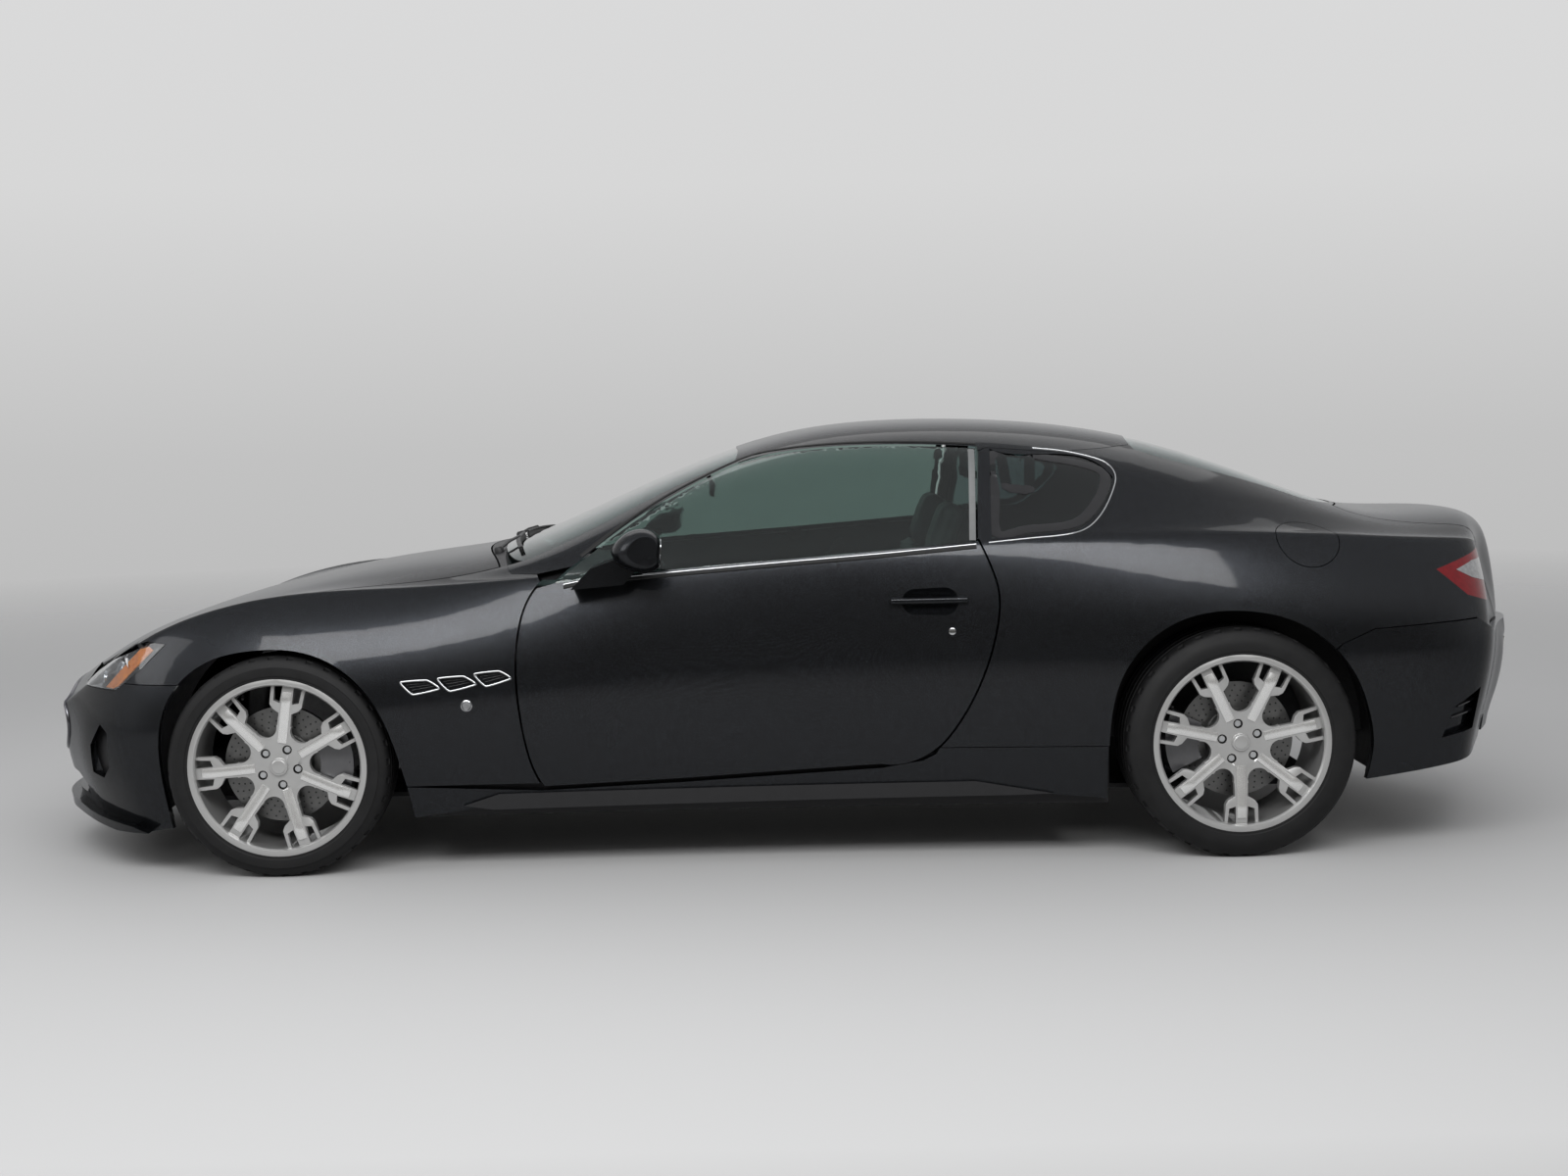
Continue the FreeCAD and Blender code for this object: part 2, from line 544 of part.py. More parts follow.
# ------------------------------------------------------- inner frame and floor
front_well = rod(v(FRONT_AXLE_X, 490, 340), v(FRONT_AXLE_X, 1000, 340), FRONT_WELL_R).fuse(
    box(FRONT_AXLE_X - FRONT_WELL_R, FRONT_AXLE_X + FRONT_WELL_R, 490, 1000, 40, 340))
rear_well = rod(v(REAR_AXLE_X, 620, 354), v(REAR_AXLE_X, 1000, 354), REAR_WELL_R).fuse(
    box(REAR_AXLE_X - REAR_WELL_R, REAR_AXLE_X + REAR_WELL_R, 620, 1000, 40, 354))
frame = frame_shell.common(box(-2460, 2460, -5, 1000, FLOOR_Z - 4, 1400))
for hole in (door_hole, door_glass_hole, quarter_hole, windscreen_hole, rear_screen_hole,
             plan_prism(BONNET_WELL, BONNET_WELL_CORNERS, 520),
             plan_prism(BOOT_WELL, BOOT_WELL_CORNERS, BOOT_FOOT_Z + 38), front_arch, rear_arch,
             side_prism(UNDER_TAIL), side_prism(UNDER_NOSE),
             front_prism(two_sided(grown_half(GRILLE, 16)), None, 2180),
             front_prism(two_sided(grown_half(LOWER_INTAKE, 12)), None, 2180),
             side_prism(grown(CORNER_INTAKE, 12), None, CORNER_Y),
             rod(v(-2600, TIP_Y, TIP_Z), v(-2100, TIP_Y, TIP_Z), TIP_R + 8)):
    frame = frame.cut(hole)
frame = biggest(frame)
pillar_side = side_prism(grown(DOOR, 34), DOOR_CORNERS, DOOR_TRIM_Y + 46, DOOR_TRIM_Y + 92)
pillar_side = pillar_side.cut(side_prism(grown(DOOR, SEAT_GAP - DOOR_GAP / 2), DOOR_CORNERS, 300)).common(below_panel)
for low, high in HINGE_Z:
    frame = frame.fuse(biggest(pillar_side.common(box(790, 900, 800, 900, low, high))))
for spots, top in ((BONNET_STOPS, 520), (BOOT_STOPS, BOOT_FOOT_Z)):
    for x, y in spots:
        stop = rod(v(x, y, top), v(x, y, 1200), STOP_R).common(below_lid.translated(v(0, 0, -SEAT_GAP)))
        frame = frame.fuse(biggest(stop.cut(below_panel)))
frame_whole = whole(frame)
save("body_frame", frame_whole, 20000)

inside = whole(below_frame)


def lining(shape):
    # a cross-car sheet trimmed to the frame and clear of the wheels
    part = shape.common(inside)
    for well in (front_well, rear_well):
        part = part.cut(well).cut(mirrored(well))
    return part


floor = lining(box(-1700, 2240, -950, 950, FLOOR_Z, FLOOR_Z + FLOOR_T))
save("floor_pan", biggest(floor))
firewall = lining(box(FIREWALL_X, FIREWALL_X + 14, -950, 950, FLOOR_Z + FLOOR_T, 1000))
save("firewall", biggest(firewall))
bulkhead = box(BULKHEAD_X - 12, BULKHEAD_X, -950, 950, FLOOR_Z + FLOOR_T, SHELF_Z)
shelf = box(-1800, BULKHEAD_X, -950, 950, SHELF_Z, SHELF_Z + 12)
boot_floor = box(-2240, BULKHEAD_X - 12, -612, 612, BOOT_FLOOR_Z, BOOT_FLOOR_Z + 12)
save("rear_bulkhead", biggest(lining(bulkhead.fuse(shelf).fuse(boot_floor))))


def liner(well_r, x, z, y0, wall):
    ring = rod(v(x, y0, z), v(x, 1000, z), well_r).cut(rod(v(x, y0 - 1, z), v(x, 1001, z), well_r - 6))
    ring = ring.common(box(x - 600, x + 600, 0, 1000, z, z + 700))
    for x0, foot, inner in ((x - well_r, LINER_FOOT_Z if wall else FLOOR_Z + FLOOR_T, y0 - 130 if wall else y0),
                            (x + well_r - 6, FLOOR_Z + FLOOR_T, y0)):
        ring = ring.fuse(box(x0, x0 + 6, inner, 1000, foot, z))
    if wall:
        disc = rod(v(x, y0, z), v(x, y0 + 6, z), well_r).common(box(x - 600, x + 600, 0, 1000, z, z + 700))
        ring = ring.fuse(disc).fuse(box(x - well_r, x + well_r, y0, y0 + 6, z - 14, z))
        ring = ring.cut(box(x - 44, x + 44, y0 - 1, y0 + 8, z - 60, z + 44))
    return ring.common(below_frame)


liners = [biggest(liner(FRONT_WELL_R, FRONT_AXLE_X, 340, 490, False)),
          biggest(liner(REAR_WELL_R, REAR_AXLE_X, 354, 620, True))]
save("wheel_liners", Part.makeCompound(liners + [mirrored(q) for q in liners]))

# ------------------------------------------------------------------ running gear
engine = box(985, 1640, -300, 300, 232, 720)
save("engine_block", engine)
sub = box(1490, 1650, -470, 470, FLOOR_Z + FLOOR_T, 232).fuse(box(1000, 1120, -340, 340, FLOOR_Z + FLOOR_T, 232))
arm_top = BALL_Z - SEAT_GAP
arm = plan_prism([(FRONT_AXLE_X - 72, 440), (FRONT_AXLE_X + 72, 440), (FRONT_AXLE_X + 64, 520),
                  (FRONT_AXLE_X + 30, 660), (FRONT_AXLE_X + 20, STEER_Y), (FRONT_AXLE_X - 20, STEER_Y),
                  (FRONT_AXLE_X - 30, 660), (FRONT_AXLE_X - 64, 520)], None, arm_top - 26, arm_top)
arm = arm.fuse(rod(v(FRONT_AXLE_X, STEER_Y, arm_top - 30), v(FRONT_AXLE_X, STEER_Y, arm_top), BALL_R))
sub = sub.fuse(arm).fuse(mirrored(arm))
save("front_subframe", sub)


def barrel(width):
    h = width / 2.0 - 18.5
    return turned([(BEAD_R - 11, -h - 12), (RIM_LIP_R, -h - 12), (RIM_LIP_R, -h - 5.5), (BEAD_R, -h - 5.5),
                   (BEAD_R, h + 5.5), (RIM_LIP_R, h + 5.5), (RIM_LIP_R, h + 12), (BEAD_R - 6, h + 12),
                   (BEAD_R - 11, h + 4)])


SPOKE = [(0, 22), (166, 19.5), (178, 40), (190, 49), (255, 53), (255, 43), (203, 39), (197, 18.5), (255, 17)]
FACE = [(0, 84), (78, 84), (207, 101), (250, 94), (256, 94), (256, 80), (250, 80), (78, 58), (0, 58)]


def spoked_rim(width, first_angle):
    push = width / 2.0 - 122.5
    face = turned(FACE)
    outline = SPOKE + [(u, -w) for u, w in SPOKE[::-1]]
    blank = Part.Face(Part.makePolygon([v(u, 0, w) for u, w in outline] + [v(outline[0][0], 0, outline[0][1])]))
    spoke = blank.extrude(v(0, 130, 0)).common(face)
    hub = rod(v(0, 0, 0), v(0, 130, 0), 128)
    for k in range(SPOKES):
        a = math.radians((k + 0.5) * 360.0 / SPOKES)
        hub = hub.cut(rod(v(128 * math.cos(a), -1, 128 * math.sin(a)), v(128 * math.cos(a), 131, 128 * math.sin(a)), 34.5))
    hub = hub.common(face)
    wheel = hub
    for k in range(SPOKES):
        wheel = wheel.fuse(spoke.rotated(v(0, 0, 0), v(0, 1, 0), k * 360.0 / SPOKES))
    wheel = wheel.fuse(rod(v(0, 30 - push, 0), v(0, 70, 0), 74))
    for k in range(STUDS):
        a = math.radians(k * 360.0 / STUDS + 18)
        c = v(STUD_PCD / 2 * math.cos(a), 0, STUD_PCD / 2 * math.sin(a))
        wheel = wheel.cut(rod(c + v(0, 64, 0), c + v(0, 90, 0), 14.5))
        wheel = wheel.fuse(rod(c + v(0, 60, 0), c + v(0, 79, 0), 9.5))
    wheel = wheel.fuse(rod(v(0, 80, 0), v(0, 87, 0), 28))
    wheel = wheel.translated(v(0, push, 0)).fuse(barrel(width))
    return wheel.rotated(v(0, 0, 0), v(0, 1, 0), first_angle)


def tyre(diameter, width):
    r, w = diameter / 2.0, width / 2.0
    return turned([(BEAD_R, -w + 18.5), (300, -w), (r - 10, -w + 10), (r, -w + 34),
                   (r, w - 34), (r - 10, w - 10), (300, w), (BEAD_R, w - 18.5)])


AXLE_R = 25.0
hub_disc = turned([(AXLE_R + 0.05, 0), (DISC_D / 2, 0), (DISC_D / 2, 26), (96, 26), (92, 30), (0, 30), (0, 24),
                   (AXLE_R + 0.05, 24)])


def carrier(x_sign, foot=None):
    # upright with its stub axle and the brake caliper on one side; foot is its ball joint's place
    body = rod(v(0, -70, 0), v(0, -10, 0), 52).fuse(rod(v(0, -12, 0), v(0, 22, 0), AXLE_R))
    ring = turned([(122, -46), (222, -46), (222, 56), (122, 56)])
    slot = turned([(100, -8), (186, -8), (186, 36), (100, 36)])
    a0 = math.radians(26)
    wedge = Part.Face(Part.makePolygon([v(0, -100, 0), v(400, -100, -400 * math.tan(a0)),
                                        v(400, -100, 400 * math.tan(a0)), v(0, -100, 0)])).extrude(v(0, 200, 0))
    caliper = ring.cut(slot).common(wedge)
    bridge = box(40, 150, -46, -14, -34, 34)
    part = body.fuse(caliper).fuse(bridge)
    part = part if x_sign > 0 else part.rotated(v(0, 0, 0), v(0, 1, 0), 180)
    if foot:
        part = part.fuse(rod(foot, v(foot.x, foot.y, 0), BALL_R - 3))
    return part


front_rim = spoked_rim(FRONT_TYRE_W, -99.0)
rear_rim = spoked_rim(REAR_TYRE_W, -64.3)
front_tyre = tyre(FRONT_TYRE_D, FRONT_TYRE_W)
rear_tyre = tyre(REAR_TYRE_D, REAR_TYRE_W)
for axle, x, track, d, rim, tyre_solid in (
        ("front", FRONT_AXLE_X, FRONT_TRACK, FRONT_TYRE_D, front_rim, front_tyre),
        ("rear", REAR_AXLE_X, REAR_TRACK, REAR_TYRE_D, rear_rim, rear_tyre)):
    at = v(x, track / 2, d / 2)
    up = carrier(1)
    if axle == "front":
        up = carrier(-1, v(0, STEER_Y - track / 2, BALL_Z - d / 2))
    for side, make in (("left", lambda q: q), ("right", mirrored)):
        save("rim_%s_%s" % (axle, side), make(rim.translated(at)))
        save("tyre_%s_%s" % (axle, side), make(tyre_solid.translated(at)))
        save("brake_disc_%s_%s" % (axle, side), make(hub_disc.translated(at)))
        if axle == "front":
            save("knuckle_%s" % side, make(up.translated(at)))
    if axle == "rear":
        rear_up = up.translated(at)
        rear_up = rear_up.fuse(box(x - 34, x + 34, 440, 740, d / 2 - 30, d / 2 + 30))
        beam = box(x - 150, x + 150, -450, 450, FLOOR_Z + FLOOR_T, BOOT_FLOOR_Z)
        save("rear_axle", beam.fuse(rear_up).fuse(mirrored(rear_up)))


# ------------------------------------------------------------ grilles and lips
nose = below_panel.common(box(2050, 2600, -1, 900, 150, 700))
deep = nose.cut(below_panel.translated(v(-GRILLE_T, 0, 0)))
deep_corner = nose.cut(below_panel.translated(v(-12, -12, 0)))


def grid_behind(half_outline, margin, bars):
    # bars behind an opening, in a rim that rests on the back of the bumper
    rim = front_prism(two_sided(grown_half(half_outline, margin)), None, 2180)
    hole = front_prism(two_sided(half_outline), None, 2180)
    layer = deep.common(rim)
    grid = whole(layer.cut(hole))
    for bar in bars:
        grid = grid.fuse(whole(layer.common(bar)))
    return grid.removeSplitter()


slats = [box(2100, 2600, 0, 4.5, 150, 700)]
slats += [box(2100, 2600, 46 * k - 4.5, 46 * k + 4.5, 150, 700) for k in range(1, 9)]
save("grille", biggest(grid_behind(GRILLE, 14, slats)))
rungs = [box(2100, 2600, -1, 900, z, z + 7) for z in (212, 230, 248)]
lower_grid = biggest(grid_behind(LOWER_INTAKE, 10, rungs))
corner_back = deep_corner.common(side_prism(grown(CORNER_INTAKE, 10), None, CORNER_Y))
save("intake_grilles", Part.makeCompound([lower_grid, biggest(corner_back), mirrored(biggest(corner_back))]))

proud = body_half(-9)
lip = body_half(-34).cut(skin)
splitter = lip.common(side_prism([(1990, 132), (2120, 124), (2250, 136), (2700, 152), (2700, 196), (2330, 174), (2180, 158),
                                  (2050, 148)], None, 0))
save("splitter", whole(biggest(splitter)), 2000)
blade = proud.cut(skin).common(side_prism([(1010, 205), (900, 240), (-560, 248), (-800, 206), (-680, 202), (920, 190)],
                                          None, 500))
save("sill_blades", both(biggest(blade)))

# ------------------------------------------------------------ exhaust
muffler = rounded_box(-2180, -1960, -474, 474, 262, BOOT_FLOOR_Z, 28)
for y in (-TIP_Y, TIP_Y):
    tip = rod(v(TIP_END_X, y, TIP_Z), v(-2150, y, TIP_Z), TIP_R)
    tip = tip.cut(rod(v(TIP_END_X - 1, y, TIP_Z), v(-2184, y, TIP_Z), TIP_R - 4))
    muffler = muffler.fuse(tip)
save("exhaust", muffler)

# ------------------------------------------------------------ cabin
def leaned(shape, x, z, degrees):
    return shape.rotated(v(x, 0, z), v(0, 1, 0), degrees)


def chair(y0, half, x0, floor, back_lean, cushion_z, back_top):
    base = box(x0 + 40, x0 + 430, y0 - half + 60, y0 + half - 60, floor, cushion_z - 96)
    cushion = rounded_box(x0, x0 + 500, y0 - half, y0 + half, cushion_z - 100, cushion_z + 20, 34)
    back = rounded_box(x0 - 110, x0 + 20, y0 - half + 6, y0 + half - 6, cushion_z - 60, back_top, 38)
    back = leaned(back, x0, cushion_z, back_lean)
    return base.fuse(cushion).fuse(back)


front_chair = chair(368, 248, -250, FLOOR_Z + FLOOR_T, -20, 395, 960)
rest = leaned(rounded_box(-250 - 96, -250 - 6, 368 - 128, 368 + 128, 950, 1150, 34), -250, 395, -20)
front_chair = front_chair.fuse(rest)
save("front_seats", both(front_chair))
rear_chair = chair(330, 235, -870, FLOOR_Z + FLOOR_T, -16, 400, 880)
rear_chair = rear_chair.common(box(-1000, 0, 12, 700, 100, 1200))
rear_chair = rear_chair.cut(box(-900, 0, -TUNNEL_Y - 1, TUNNEL_Y + 1, 100, TUNNEL_TOP + 1))
save("rear_seats", whole(rear_chair))

tunnel = rounded_box(-900, 920, -TUNNEL_Y, TUNNEL_Y, FLOOR_Z + FLOOR_T - 30, TUNNEL_TOP, 24)
tunnel = tunnel.common(box(-900, 925, -200, 200, FLOOR_Z + FLOOR_T, 600))
dash = Part.Face(Part.makePolygon([v(480, -730, 640), v(455, -730, 720), v(520, -730, 838), v(640, -730, 864),
                                   v(860, -730, 868), v(930, -730, 840), v(930, -730, 600), v(700, -730, 560),
                                   v(480, -730, 640)])).extrude(v(0, 1460, 0))
binnacle = rounded_box(430, 640, 240, 500, 780, 885, 24)
dash = dash.fuse(binnacle).cut(tunnel).common(box(400, FIREWALL_X, -730, 730, 400, 900))
WHEEL_AT = v(372, 368, 758)
WHEEL_TILT = 68.5
HUB_T = 26.0
along = v(math.sin(math.radians(WHEEL_TILT)), 0, -math.cos(math.radians(WHEEL_TILT)))
column = rod(WHEEL_AT + along * (HUB_T / 2 + SEAT_GAP), WHEEL_AT + along * 160, 28)
dash = dash.fuse(column)
stack = box(640, 900, -98, 98, 400, 620)
save("dashboard", dash.fuse(tunnel.fuse(stack)).removeSplitter())
wheel_rim = Part.makeTorus(178, 15)
hub_plate = Part.makeCylinder(58, HUB_T, v(0, 0, -HUB_T / 2))
steering = wheel_rim.fuse(hub_plate)
for a in (0, 180, 270):
    steering = steering.fuse(box(40, 172, -17, 17, -7, 7).rotated(v(0, 0, 0), v(0, 0, 1), a))
steering.rotate(v(0, 0, 0), v(0, 1, 0), -WHEEL_TILT)
steering.translate(WHEEL_AT)
save("steering_wheel", biggest(steering.cut(dash)))

# ------------------------------------------------------------ on the doors
MIRROR_SECTION = [(-58, -36), (-60, 4), (-56, 40), (-26, 60), (24, 58), (66, 30), (82, -4), (62, -36), (16, -56),
                  (-34, -56)]
# station y, size along the car, size upwards, shift of the middle in x and z
MIRROR_STATIONS = [(886, 0.62, 0.66, 14, -12), (905, 0.90, 0.88, 6, -8), (950, 1.04, 1.04, 0, -2), (1010, 1.04, 1.08, -2, 2),
                   (1060, 0.92, 0.98, -8, 4), (1088, 0.62, 0.70, -18, 6)]
rings = []
for y, k, m, dx, dz in MIRROR_STATIONS:
    ring = Part.BSplineCurve()
    ring.interpolate([v(446 + dx + a * k, y, 982 + dz + b * m) for a, b in MIRROR_SECTION], True)
    rings.append(Part.Wire(ring.toShape()))
mirror_head = Part.makeLoft(rings, True)
arm = Part.Face(Part.makePolygon([v(660, 700, 868), v(500, 700, 880), v(452, 700, 932), v(520, 700, 958),
                                  v(600, 700, 930), v(660, 700, 868)])).extrude(v(0, 260, 0))
arm = arm.common(box(400, 700, 800, 950, 800, 1000))
mirror_head = biggest(mirror_head.fuse(arm).cut(door).cut(door_glass))
handle = rounded_box(HANDLE[0] - 240, HANDLE[0], HANDLE[1] - 9, HANDLE[1] + 23, HANDLE[2] - 9, HANDLE[2] + 9, 7)
handle = biggest(handle.cut(door))
for side, make in (("left", lambda q: q), ("right", mirrored)):
    save("mirror_" + side, make(mirror_head))
    save("handle_" + side, make(handle))
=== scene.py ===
# A two-door coupe car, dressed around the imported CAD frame.
# Frame: +X to the nose, +Y to the driver's left, +Z up, in metres.
import bpy
import bmesh
import math
from mathutils import Matrix, Vector
from mathutils.bvhtree import BVHTree


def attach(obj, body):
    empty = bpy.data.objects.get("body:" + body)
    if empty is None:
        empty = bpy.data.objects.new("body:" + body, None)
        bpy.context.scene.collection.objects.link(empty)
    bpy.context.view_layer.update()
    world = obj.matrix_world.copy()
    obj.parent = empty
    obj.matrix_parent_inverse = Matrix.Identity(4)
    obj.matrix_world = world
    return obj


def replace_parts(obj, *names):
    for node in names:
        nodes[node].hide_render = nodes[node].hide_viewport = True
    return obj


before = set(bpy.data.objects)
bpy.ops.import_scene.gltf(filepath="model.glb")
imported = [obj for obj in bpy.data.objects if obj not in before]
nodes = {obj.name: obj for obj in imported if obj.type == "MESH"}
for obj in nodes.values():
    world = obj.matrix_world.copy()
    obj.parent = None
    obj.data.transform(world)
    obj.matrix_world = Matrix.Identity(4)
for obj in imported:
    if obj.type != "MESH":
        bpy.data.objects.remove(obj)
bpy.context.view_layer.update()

SIDES = (("left", 1), ("right", -1))
FRONT_R, REAR_R = 0.33975, 0.35375          # tyre radii
FRONT_W, REAR_W = 0.245, 0.285              # tyre widths
FRONT_TURN, REAR_TURN = -99.0, -64.3        # how far each rim is turned, in degrees
WHEELS = {
    "front_left": (1.57, 0.793, FRONT_R), "front_right": (1.57, -0.793, FRONT_R),
    "rear_left": (-1.372, 0.795, REAR_R), "rear_right": (-1.372, -0.795, REAR_R),
}
SPOKES, BOLTS = 7, 5
BOLT_CIRCLE = 0.05715                       # radius
TYRE_STEPS = 108                            # segments round a tyre


# -------------------- materials
def shader(name):
    # a material with one Principled node, and its object coordinates
    mat = bpy.data.materials.new(name)
    mat.use_nodes = True
    tree = mat.node_tree
    tree.nodes.clear()
    out = tree.nodes.new("ShaderNodeOutputMaterial")
    bsdf = tree.nodes.new("ShaderNodeBsdfPrincipled")
    tree.links.new(bsdf.outputs[0], out.inputs[0])
    coords = tree.nodes.new("ShaderNodeTexCoord")
    return mat, tree, bsdf, coords.outputs["Object"]


def dial(node, **sockets):
    # set inputs by their names, with _ for a space
    for socket, value in sockets.items():
        node.inputs[socket.replace("_", " ")].default_value = value


def noise(tree, coords, scale, detail=3.0, stretch=None):
    # fractal noise over the surface, drawn out along the axes by stretch
    if stretch:
        mapping = tree.nodes.new("ShaderNodeMapping")
        dial(mapping, Scale=stretch)
        tree.links.new(coords, mapping.inputs["Vector"])
        coords = mapping.outputs[0]
    n = tree.nodes.new("ShaderNodeTexNoise")
    dial(n, Scale=scale, Detail=detail, Roughness=0.55)
    tree.links.new(coords, n.inputs["Vector"])
    return n.outputs["Fac"]


def ramp(tree, fac, stops):
    # a factor turned into colours given as (position, colour) stops
    r = tree.nodes.new("ShaderNodeValToRGB")
    while len(r.color_ramp.elements) < len(stops):
        r.color_ramp.elements.new(0.5)
    for element, (at, colour) in zip(r.color_ramp.elements, stops):
        element.position = at
        element.color = (*colour, 1)
    tree.links.new(fac, r.inputs[0])
    return r.outputs[0]


def spread(tree, fac, low, high, a=0.3, b=0.7):
    # a factor between a and b mapped to low and high
    m = tree.nodes.new("ShaderNodeMapRange")
    dial(m, From_Min=a, From_Max=b, To_Min=low, To_Max=high)
    tree.links.new(fac, m.inputs["Value"])
    return m.outputs[0]


def bump(tree, bsdf, height, strength, distance):
    # fine relief on a shader
    b = tree.nodes.new("ShaderNodeBump")
    dial(b, Strength=strength, Distance=distance)
    tree.links.new(height, b.inputs["Height"])
    tree.links.new(b.outputs[0], bsdf.inputs["Normal"])


def finish(name, colour, rough, metallic=0.0, vary=0.12, scale=40.0, grain=0.0, grain_scale=600.0,
           rough_vary=0.05, stretch=None, **sockets):
    # one surface: colour and roughness wander a little, grain gives a fine relief
    mat, tree, bsdf, coords = shader(name)
    wander = noise(tree, coords, scale, stretch=stretch)
    dark = tuple(c * (1 - vary) for c in colour)
    light = tuple(min(c * (1 + vary), 1) for c in colour)
    tree.links.new(ramp(tree, wander, [(0.3, dark), (0.7, light)]), bsdf.inputs["Base Color"])
    tree.links.new(spread(tree, wander, max(rough - rough_vary, 0.02), rough + rough_vary), bsdf.inputs["Roughness"])
    if grain:
        bump(tree, bsdf, noise(tree, coords, grain_scale, detail=2), 0.6, grain)
    dial(bsdf, Metallic=metallic, **sockets)
    mat.diffuse_color = (*colour, 1)
    return mat


def paint():
    # near-black base with bluish metallic flakes under clear lacquer
    mat, tree, bsdf, coords = shader("charcoal_metallic_paint")
    flake = noise(tree, coords, 1900.0, detail=1.0)
    broad = noise(tree, coords, 2.5)
    tones = [(0.38, (0.005, 0.005, 0.0052)), (0.60, (0.015, 0.0155, 0.017)), (0.75, (0.15, 0.17, 0.20))]
    tree.links.new(ramp(tree, flake, tones), bsdf.inputs["Base Color"])
    tree.links.new(spread(tree, broad, 0.27, 0.31), bsdf.inputs["Roughness"])
    dial(bsdf, Metallic=0.85, Specular_Tint=(0.16, 0.18, 0.21, 1), Coat_Weight=0.5, Coat_Roughness=0.05,
         Coat_IOR=1.40)
    return mat


def glass(name, tint, ior=1.45):
    # clear tinted glass with a trace of dust in its colour
    mat, tree, bsdf, coords = shader(name)
    dust = noise(tree, coords, 9.0)
    dark = tuple(c * 0.97 for c in tint)
    tree.links.new(ramp(tree, dust, [(0.35, dark), (0.65, tint)]), bsdf.inputs["Base Color"])
    dial(bsdf, Roughness=0.0, Transmission_Weight=1.0, IOR=ior)
    return mat


def leather(name, colour):
    # grained hide, worn lighter in places
    mat, tree, bsdf, coords = shader(name)
    cells = tree.nodes.new("ShaderNodeTexVoronoi")
    cells.feature = "DISTANCE_TO_EDGE"
    dial(cells, Scale=420.0)
    tree.links.new(coords, cells.inputs["Vector"])
    wear = noise(tree, coords, 12.0)
    dark = tuple(c * 0.8 for c in colour)
    light = tuple(min(c * 1.25, 1) for c in colour)
    tree.links.new(ramp(tree, wear, [(0.3, dark), (0.7, light)]), bsdf.inputs["Base Color"])
    tree.links.new(spread(tree, wear, 0.42, 0.56), bsdf.inputs["Roughness"])
    bump(tree, bsdf, cells.outputs["Distance"], 0.5, 0.0006)
    dial(bsdf, Coat_Weight=0.08)
    return mat


PAINT = paint()
GLASS = glass("blue_green_tinted_glass", (0.32, 0.42, 0.39))
SCREEN_GLASS = glass("tinted_screen_glass", (0.21, 0.31, 0.30), 1.25)
DARK_GLASS = glass("dark_privacy_glass", (0.17, 0.23, 0.23))
CLEAR = glass("clear_lamp_cover", (0.74, 0.76, 0.78))
RED_LENS = finish("red_lamp_lens", (0.13, 0.0025, 0.005), 0.22, vary=0.15, scale=60, Coat_Weight=0.2,
                  Coat_Roughness=0.03, Coat_IOR=1.4, Specular_IOR_Level=0.2)
PROJECTOR = finish("projector_glass", (0.09, 0.095, 0.10), 0.07, 0.5, vary=0.1, Coat_Weight=1.0, Coat_Roughness=0.02)
FROST = finish("ribbed_clear_lamp", (0.17, 0.173, 0.176), 0.22, vary=0.25, scale=80, Coat_Weight=0.6,
               Coat_Roughness=0.04)
AMBER = finish("amber_marker_lens", (0.95, 0.24, 0.004), 0.30, vary=0.2, scale=90, Coat_Weight=0.3,
               Coat_Roughness=0.03)
CHROME = finish("polished_chrome", (0.50, 0.51, 0.52), 0.09, 1.0, vary=0.03, rough_vary=0.02)
DARK_CHROME = finish("dark_chrome", (0.13, 0.13, 0.14), 0.20, 1.0, vary=0.06, rough_vary=0.03)
SATIN = finish("satin_grey_anodised", (0.20, 0.205, 0.205), 0.38, 0.6, vary=0.06, scale=30, stretch=(1, 1, 14))
GLOSS_BLACK = finish("gloss_black_trim", (0.006, 0.006, 0.007), 0.14, vary=0.2, Coat_Weight=0.3,
                     Coat_Roughness=0.04, Coat_IOR=1.4)
BLACK_PLASTIC = finish("grained_black_plastic", (0.014, 0.014, 0.015), 0.52, vary=0.2, grain=0.0004,
                       Specular_IOR_Level=0.35)
SEAL = finish("black_rubber_seal", (0.008, 0.008, 0.008), 0.60, vary=0.2, scale=80, Specular_IOR_Level=0.3)
PRIMER = finish("black_primer", (0.01, 0.01, 0.011), 0.60, vary=0.2, grain=0.0002, grain_scale=250,
                Specular_IOR_Level=0.3)
SILVER = finish("silver_wheel_lacquer", (0.46, 0.46, 0.455), 0.34, 0.7, vary=0.03, scale=12, rough_vary=0.015,
                Coat_Weight=0.4, Coat_Roughness=0.06)
BRIGHT = finish("machined_wheel_face", (0.78, 0.78, 0.77), 0.26, 0.85, vary=0.03, scale=12, rough_vary=0.015,
                Coat_Weight=0.5, Coat_Roughness=0.05)
RUBBER = finish("tyre_rubber", (0.0065, 0.0065, 0.0068), 0.62, vary=0.25, scale=25, grain=0.0003, grain_scale=900,
                Specular_IOR_Level=0.25)
IRON = finish("ground_disc_iron", (0.17, 0.17, 0.168), 0.36, 1.0, vary=0.10, scale=60)
CAST = finish("cast_alloy", (0.34, 0.34, 0.35), 0.45, 0.8, vary=0.15, scale=30, grain=0.0004, grain_scale=300)
CALIPER = finish("grey_caliper_lacquer", (0.11, 0.11, 0.115), 0.32, 0.6, vary=0.08, Coat_Weight=0.4)
STEEL = finish("polished_exhaust_steel", (0.60, 0.59, 0.57), 0.17, 1.0, vary=0.08, scale=20, stretch=(1, 8, 8))
LEATHER = leather("charcoal_leather", (0.045, 0.045, 0.048))
LEATHER_DASH = leather("dashboard_leather", (0.03, 0.03, 0.032))
CARPET = finish("charcoal_carpet", (0.022, 0.022, 0.024), 0.95, vary=0.45, scale=500, grain=0.002, grain_scale=700)
